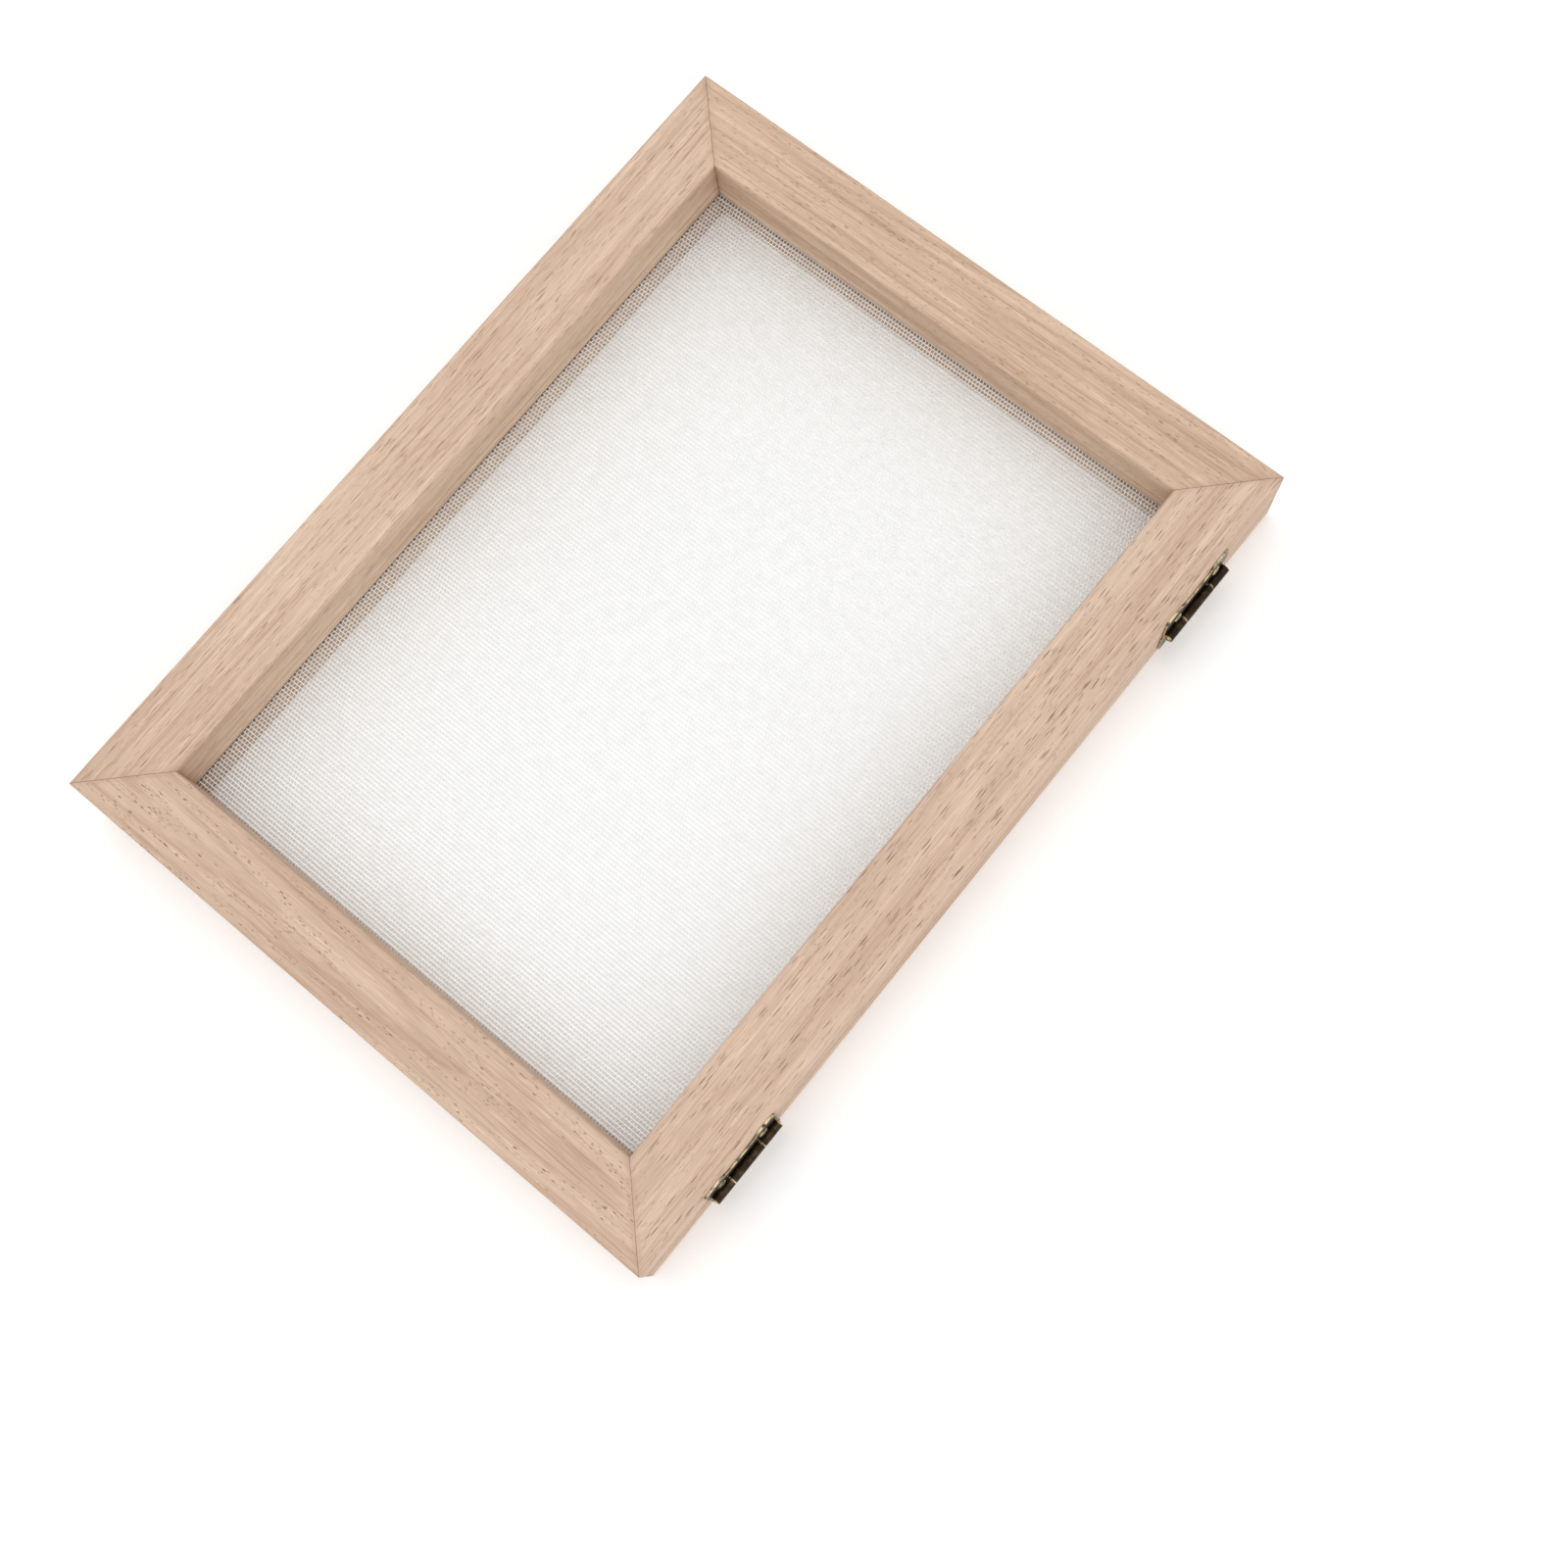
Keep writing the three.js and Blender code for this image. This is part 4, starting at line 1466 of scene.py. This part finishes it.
@dataclass(frozen=True)
class HingeLeaf:
    """A leaf of rolled sheet: a plate with two lobes and a waist, curled round the pin.

    In a leaf's own plane u runs along the pin and v away from it. Across it, out is the distance
    from the wood.
    """

    half_length: float = 12.8 * MM
    reach: float = 10.6 * MM
    waist: float = 8.2 * MM
    waist_end: float = 3.75 * MM
    lobe_start: float = 7.3 * MM
    corner: float = 2.2 * MM
    cut_back: float = 1.65 * MM
    sheet: float = 0.6 * MM
    behind: float = 0.02 * MM
    roll_radius: float = 1.1 * MM
    roll_from: float = 180.0
    roll_to: float = 476.0
    roll_steps: int = 26
    plate_steps: int = 10
    neck_steps: int = 4
    bevel: float = 0.09 * MM
    bevel_steps: int = 2
    bevel_over: float = math.radians(50)
    dent: float = 0.025 * MM
    outline_steps: int = 7
    least_gap: float = 0.12 * MM

    DENTS_PER_METRE = 400
    SAME_PLACE = 1e-6

    def top(self, u: float) -> float:
        """Gives the height of the outline at a place along the pin."""
        away = abs(u)
        if away > self.half_length - self.corner:
            share = math.sqrt(max(0.0, self.half_length - away) / self.corner)
            return self.reach - self.corner * (1 - share) ** 2
        share = min(1.0, max(0.0, (away - self.waist_end) / (self.lobe_start - self.waist_end)))
        return self.waist + (self.reach - self.waist) * share * share * (3 - 2 * share)

    def columns(self, knuckles: list[tuple[float, float]]) -> list[float]:
        """Gives the places along the pin where the outline or the knuckles need a line."""
        marks = {0.0, self.waist_end, self.lobe_start, self.half_length - self.corner, self.half_length}
        steps = self.outline_steps
        marks |= {self.half_length - self.corner * (i / steps) ** 2 for i in range(steps)}
        marks |= {self.waist_end + (self.lobe_start - self.waist_end) * i / steps for i in range(steps)}
        found = {round(way * mark, 7) for mark in marks for way in (-1, 1)}
        found |= {round(end, 7) for knuckle in knuckles for end in knuckle}
        ordered = sorted(found)
        pairs = zip(ordered, ordered[1:])
        kept = [u for before, u in pairs if u - before > self.least_gap or self._is_end(u, knuckles)]
        return ordered[:1] + kept

    @classmethod
    def _is_end(cls, u: float, knuckles: list[tuple[float, float]]) -> bool:
        """Says whether a knuckle starts or ends here."""
        return any(abs(u - end) < cls.SAME_PLACE for knuckle in knuckles for end in knuckle)

    def profile(self, axis_out: float) -> list[tuple[float, float]]:
        """Gives the roll from the plate's lower edge: its distance out and its height from the pin."""
        plate_out = self.behind + self.sheet / 2
        start_out = axis_out - self.roll_radius
        found = []
        for step in range(1, self.neck_steps):
            share = step / self.neck_steps
            ease = share * share * (3 - 2 * share)
            found.append((plate_out + (start_out - plate_out) * ease, self.cut_back * (1 - share)))
        for step in range(self.roll_steps + 1):
            angle = math.radians(self.roll_from + (self.roll_to - self.roll_from) * step / self.roll_steps)
            found.append((axis_out + self.roll_radius * math.cos(angle), self.roll_radius * math.sin(angle)))
        return found

    def surface(self, knuckles: list[tuple[float, float]], axis_out: float) -> Mesh:
        """Makes the middle surface of a leaf that stands up from a pin along X at the origin.

        Args:
            knuckles: Where each knuckle starts and ends along the pin.
            axis_out: The pin's distance from the wood.

        Returns:
            The open mesh, which the sheet's thickness is still to be given to.
        """
        columns = self.columns(knuckles)
        roll = self.profile(axis_out)
        working = bmesh.new()
        made: dict[tuple[int, int], bmesh.types.BMVert] = {}

        def point(i: int, j: int) -> bmesh.types.BMVert:
            """Gives the point of column i, rows 0 to plate_steps down the plate and then the roll."""
            if (i, j) not in made:
                u = columns[i]
                if j <= self.plate_steps:
                    high = self.top(u)
                    up = high + (self.cut_back - high) * j / self.plate_steps
                    dents = self.dent * noise.noise(Vector((u, up, axis_out)) * self.DENTS_PER_METRE)
                    out = self.behind + self.sheet / 2 + abs(dents) * 0.5
                else:
                    out, up = roll[j - self.plate_steps - 1]
                made[i, j] = working.verts.new((u, axis_out - out, up))
            return made[i, j]

        for i in range(len(columns) - 1):
            middle = (columns[i] + columns[i + 1]) / 2
            rolled = any(start < middle < end for start, end in knuckles)
            rows = self.plate_steps + (len(roll) if rolled else 0)
            for j in range(rows):
                working.faces.new((point(i, j), point(i + 1, j), point(i + 1, j + 1), point(i, j + 1)))
        bmesh.ops.recalc_face_normals(working, faces=working.faces)
        mesh = bpy.data.meshes.new("leaf")
        working.to_mesh(mesh)
        working.free()
        return mesh

    def thickened(self, surface: Mesh) -> Mesh:
        """Gives the sheet its thickness and breaks its edges."""
        carrier = on_scene("leaf", surface)
        thick = carrier.modifiers.new("sheet", "SOLIDIFY")
        thick.thickness = self.sheet
        thick.offset = 0.0
        thick.use_even_offset = True
        edges = carrier.modifiers.new("edges", "BEVEL")
        edges.width = self.bevel
        edges.segments = self.bevel_steps
        edges.limit_method = "ANGLE"
        edges.angle_limit = self.bevel_over
        return evaluated(carrier, "leaf")


@dataclass(frozen=True)
class Hinges:
    """The two butt hinges: leaves, pins and domed nails."""

    sizes: FrameSizes
    leaf: HingeLeaf
    middle_knuckle: float = 11.0 * MM
    barrel: float = 24.0 * MM
    knuckle_gap: float = 0.15 * MM
    pin_radius: float = 0.7 * MM
    pin_dome: float = 0.3 * MM
    pin_dome_steps: int = 4
    pin_sides: int = 24
    head_radius: float = 1.4 * MM
    head_height: float = 0.65 * MM
    head_rim: float = 0.14 * MM
    rim_under: float = 0.3
    base_share: float = 0.93
    dome_steps: int = 6
    nail_sides: int = 28
    shank_radius: float = 0.6 * MM
    nail_point: float = 1.2 * MM
    tilt: float = 0.05

    NAMES = ("hinge_left", "hinge_right")

    def knuckles(self, kind: LeafKind) -> list[tuple[float, float]]:
        """Gives the stretches of the pin that a leaf's knuckles hold."""
        inner, outer = self.middle_knuckle / 2, self.barrel / 2
        if kind is LeafKind.UPPER:
            return [(-inner, inner)]
        return [(-outer, -inner - self.knuckle_gap), (inner + self.knuckle_gap, outer)]

    def centre(self, hinge: str) -> Vector:
        """Gives the middle of a hinge's pin."""
        low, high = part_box(f"{hinge}_pin")
        return Vector(((low.x + high.x) / 2, self.sizes.pin.y, self.sizes.pin.z))

    def axis_out(self) -> float:
        """Gives the pin's distance from the wood."""
        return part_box("upper_rail_hinge_side")[0].y - self.sizes.pin.y

    def build_leaf(self, hinge: str, kind: LeafKind, bronze: Material) -> None:
        """Adds one leaf of one hinge."""
        mesh = self.leaf.thickened(self.leaf.surface(self.knuckles(kind), self.axis_out()))
        if kind is LeafKind.LOWER:
            mesh.transform(Matrix.Scale(-1.0, 4, (0.0, 0.0, 1.0)))
            mesh.flip_normals()
        mesh.transform(Matrix.Translation(self.centre(hinge)))
        mark_and_shade(mesh)
        node = f"{hinge}_{kind.label}_leaf"
        Piece(f"{node}_rolled", kind.body, "hinge_bronze", (node,)).add(mesh, bronze)

    def build_pin(self, hinge: str, bronze: Material) -> None:
        """Adds a hinge's pin, with its ends peened to low domes."""
        node = f"{hinge}_pin"
        low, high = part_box(node)
        half = (high.x - low.x) / 2
        end = []
        for step in range(self.pin_dome_steps + 1):
            angle = math.pi / 2 * step / self.pin_dome_steps
            end.append((math.sin(angle) * self.pin_radius, half - self.pin_dome * (1 - math.cos(angle))))
        profile = end + [(radius, -along) for radius, along in reversed(end)]
        mesh = lathe(profile, self.pin_sides, node)
        mesh.transform(Matrix.Translation(self.centre(hinge)) @ Matrix.Rotation(-math.pi / 2, 4, "Z"))
        mark_and_shade(mesh)
        Piece(f"{node}_peened", "lower_frame", "hinge_bronze", (node,)).add(mesh, bronze)

    def nail(self, length: float) -> Mesh:
        """Makes a nail along +Y with its head's underside at y = 0.

        Args:
            length: How deep its shank goes.

        Returns:
            The mesh.
        """
        dome = self.head_height - self.head_rim
        profile = []
        for step in range(self.dome_steps + 1):
            angle = math.pi / 2 * step / self.dome_steps
            profile.append((self.head_radius * math.sin(angle), -self.head_rim - dome * math.cos(angle)))
        profile += [
            (self.head_radius, -self.rim_under * self.head_rim),
            (self.base_share * self.head_radius, 0.0),
            (self.shank_radius, 0.0),
            (self.shank_radius, length - self.nail_point),
            (0.0, length),
        ]
        return lathe(profile, self.nail_sides, "hinge_nail")

    def build_nails(self, kind: LeafKind, bronze: Material) -> None:
        """Adds the four nails of one frame's leaves as one piece."""
        rows, nodes = [], []
        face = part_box("upper_rail_hinge_side")[0].y - self.leaf.behind - self.leaf.sheet
        for hinge in self.NAMES:
            names = [f"{hinge}_{kind.label}_nail_{way}" for way in ("left", "right")]
            middles = []
            for name in names:
                low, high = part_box(name)
                middles.append(Vector(((low.x + high.x) / 2, face, (low.z + high.z) / 2)))
            rows.append({"Count": 2, "Start": middles[0], "Step": middles[1] - middles[0], "Tilt": self.tilt})
            nodes += names
        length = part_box(nodes[0])[1].y - face
        name = f"hinge_nails_{kind.label}"
        mesh = rows_of(name, self.nail(length), rows, bronze)
        Piece(name, kind.body, "hinge_bronze", tuple(nodes)).add(mesh, bronze)

    def build(self, bronze: Material) -> None:
        """Adds both hinges."""
        for hinge in self.NAMES:
            for kind in LeafKind:
                self.build_leaf(hinge, kind, bronze)
            self.build_pin(hinge, bronze)
        for kind in LeafKind:
            self.build_nails(kind, bronze)


# ---------------------------------------------------------------------------------------------
# Studio
# ---------------------------------------------------------------------------------------------


@dataclass(frozen=True)
class Lamp:
    """A square soft box: where it hangs, what it points at, its side and its power."""

    name: str
    place: tuple[float, float, float]
    side: float
    power: float
    tint: Colour = (1.0, 1.0, 1.0)


@dataclass(frozen=True)
class Studio:
    """The pale floor, the soft light and the camera above the frame, looking down at a slant."""

    aim: tuple[float, float, float] = (-0.0100, -0.0401, 0.0)
    distance: float = 0.489
    azimuth: float = -34.75
    elevation: float = 75.98
    roll: float = -16.36
    lens_mm: float = 43.7
    sensor_mm: float = 36.0
    floor_side: float = 60.0
    floor_colour: Colour = srgb(254, 254, 254)
    floor_darker: float = 0.985
    floor_patch_mm: float = 40.0
    floor_roughness: float = 0.9
    floor_specular: float = 0.1
    sky: Colour = (1.0, 1.0, 1.0)
    sky_strength: float = 1.0
    lamps: tuple[Lamp, ...] = (
        Lamp("key", (0.1, 0.3, 1.3), 0.8, 2.8),
        Lamp("fill", (-0.4, -0.9, 0.9), 0.9, 2.4),
    )

    def build(self) -> None:
        """Adds the camera, the floor and the lights."""
        self._camera()
        self._floor()
        self._light()
        bpy.context.scene.view_settings.view_transform = "Standard"

    def _camera(self) -> None:
        """Adds the camera."""
        azimuth, elevation = math.radians(self.azimuth), math.radians(self.elevation)
        level = math.cos(elevation)
        back = Vector((math.sin(azimuth) * level, -math.cos(azimuth) * level, math.sin(elevation)))
        data = bpy.data.cameras.new("camera")
        data.lens = self.lens_mm
        data.sensor_width = self.sensor_mm
        data.clip_start = 0.01
        data.clip_end = 100.0
        camera = bpy.data.objects.new("camera", data)
        camera.rotation_mode = "QUATERNION"
        camera.location = Vector(self.aim) + back * self.distance
        upright = (-back).to_track_quat("-Z", "Y")
        camera.rotation_quaternion = upright @ Quaternion((0.0, 0.0, 1.0), math.radians(self.roll))
        bpy.context.scene.collection.objects.link(camera)
        bpy.context.scene.camera = camera

    def _floor(self) -> None:
        """Adds the floor, a plain sheet with a faint unevenness in its finish."""
        half = self.floor_side / 2
        mesh = bpy.data.meshes.new("floor")
        corners = [(x * half, y * half, 0) for x, y in ((-1, -1), (1, -1), (1, 1), (-1, 1))]
        mesh.from_pydata(corners, [], [(0, 1, 2, 3)])
        finish = Finish("floor")
        wire = finish.wire
        patches = wire.vector("DIVIDE", finish.place_mm(), [self.floor_patch_mm] * 3)
        darker = [self.floor_darker * channel for channel in self.floor_colour]
        mottle = wire.noise(patches).outputs[0]
        finish.colour_from(wire.mix(mottle, (*self.floor_colour, 1.0), (*darker, 1.0)))
        finish.shader.inputs["Roughness"].default_value = self.floor_roughness
        finish.shader.inputs["Specular IOR Level"].default_value = self.floor_specular
        mesh.materials.append(finish.material)
        on_scene("floor", mesh)

    def _light(self) -> None:
        """Adds the sky and the soft boxes."""
        world = bpy.data.worlds.new("studio")
        world.use_nodes = True
        background = world.node_tree.nodes["Background"]
        background.inputs["Color"].default_value = (*self.sky, 1.0)
        background.inputs["Strength"].default_value = self.sky_strength
        bpy.context.scene.world = world
        for lamp in self.lamps:
            data = bpy.data.lights.new(lamp.name, "AREA")
            data.shape = "SQUARE"
            data.size = lamp.side
            data.energy = lamp.power
            data.color = lamp.tint
            made = bpy.data.objects.new(lamp.name, data)
            made.location = lamp.place
            made.rotation_mode = "QUATERNION"
            made.rotation_quaternion = (-Vector(lamp.place)).to_track_quat("-Z", "Y")
            bpy.context.scene.collection.objects.link(made)


# ---------------------------------------------------------------------------------------------
# The whole
# ---------------------------------------------------------------------------------------------

UPPER_PLANKS = {
    Side.HINGE_SIDE: Plank(2.0, 60.0, 0.02, 40.0, 4.0, 0.12, 0.85, 0.2, 7.0, 0.9, (1.0, 0.985, 0.985)),
    Side.RIGHT: Plank(-14.0, 12.0, -0.04, 320.0, 2.2, 0.3, 0.7, 0.5, 2.8, 0.65, (0.98, 0.95, 0.9)),
    Side.OPENING_SIDE: Plank(45.0, 25.0, 0.01, 610.0, 2.0, 0.25, 0.85, 0.3, 7.0, 0.7, (1.03, 1.015, 1.0)),
    Side.LEFT: Plank(0.0, 9.0, 0.05, 905.0, 2.6, 0.22, 0.9, 1.0, 2.4, 0.95, (0.97, 0.945, 0.92)),
}
STRIP_PLANKS = {
    side: Plank(
        -30.0 + 9.0 * i, 20.0, 0.03, 1200.0 + 260.0 * i, 2.0, 0.25, 0.2, 0.3, 5.0, 0.5, (1.06, 1.05, 1.0)
    )
    for i, side in enumerate(Side)
}
LOWER_PLANKS = {
    side: Plank(
        24.0 - 11.0 * i, 26.0, -0.03, 2300.0 + 270.0 * i, 2.8, 0.3, 0.4, 0.5, 4.0, 0.65, (1.0, 0.97, 0.92)
    )
    for i, side in enumerate(Side)
}


def main() -> None:
    """Builds the studio and every piece, in order."""
    logging.basicConfig(level=logging.INFO, format="%(name)s: %(message)s")
    # Without a seed noise_vector takes its offsets from the clock, and the rails differ at each run.
    noise.seed_set(NOISE_SEED)
    Studio().build()
    sizes = FrameSizes.read()
    steel = BrightSteel().material("bright steel")
    bronze = AntiqueBronze().material("antique bronze")
    nylon = WhiteNylon().material("white nylon")
    v_nails = VNails()
    rails = Rails(sizes, BareWood(), v_nails)
    rails.build(Layer.LOWER_RAIL, LOWER_PLANKS)
    Net(sizes).build(nylon)
    Staples().build(steel)
    rails.build(Layer.STRIP, STRIP_PLANKS)
    rails.build(Layer.UPPER_RAIL, UPPER_PLANKS)
    v_nails.build("lower", "lower_frame", steel)
    v_nails.build("upper", "upper_frame", steel)
    Hinges(sizes, HingeLeaf()).build(bronze)


if __name__ == "__main__":
    main()
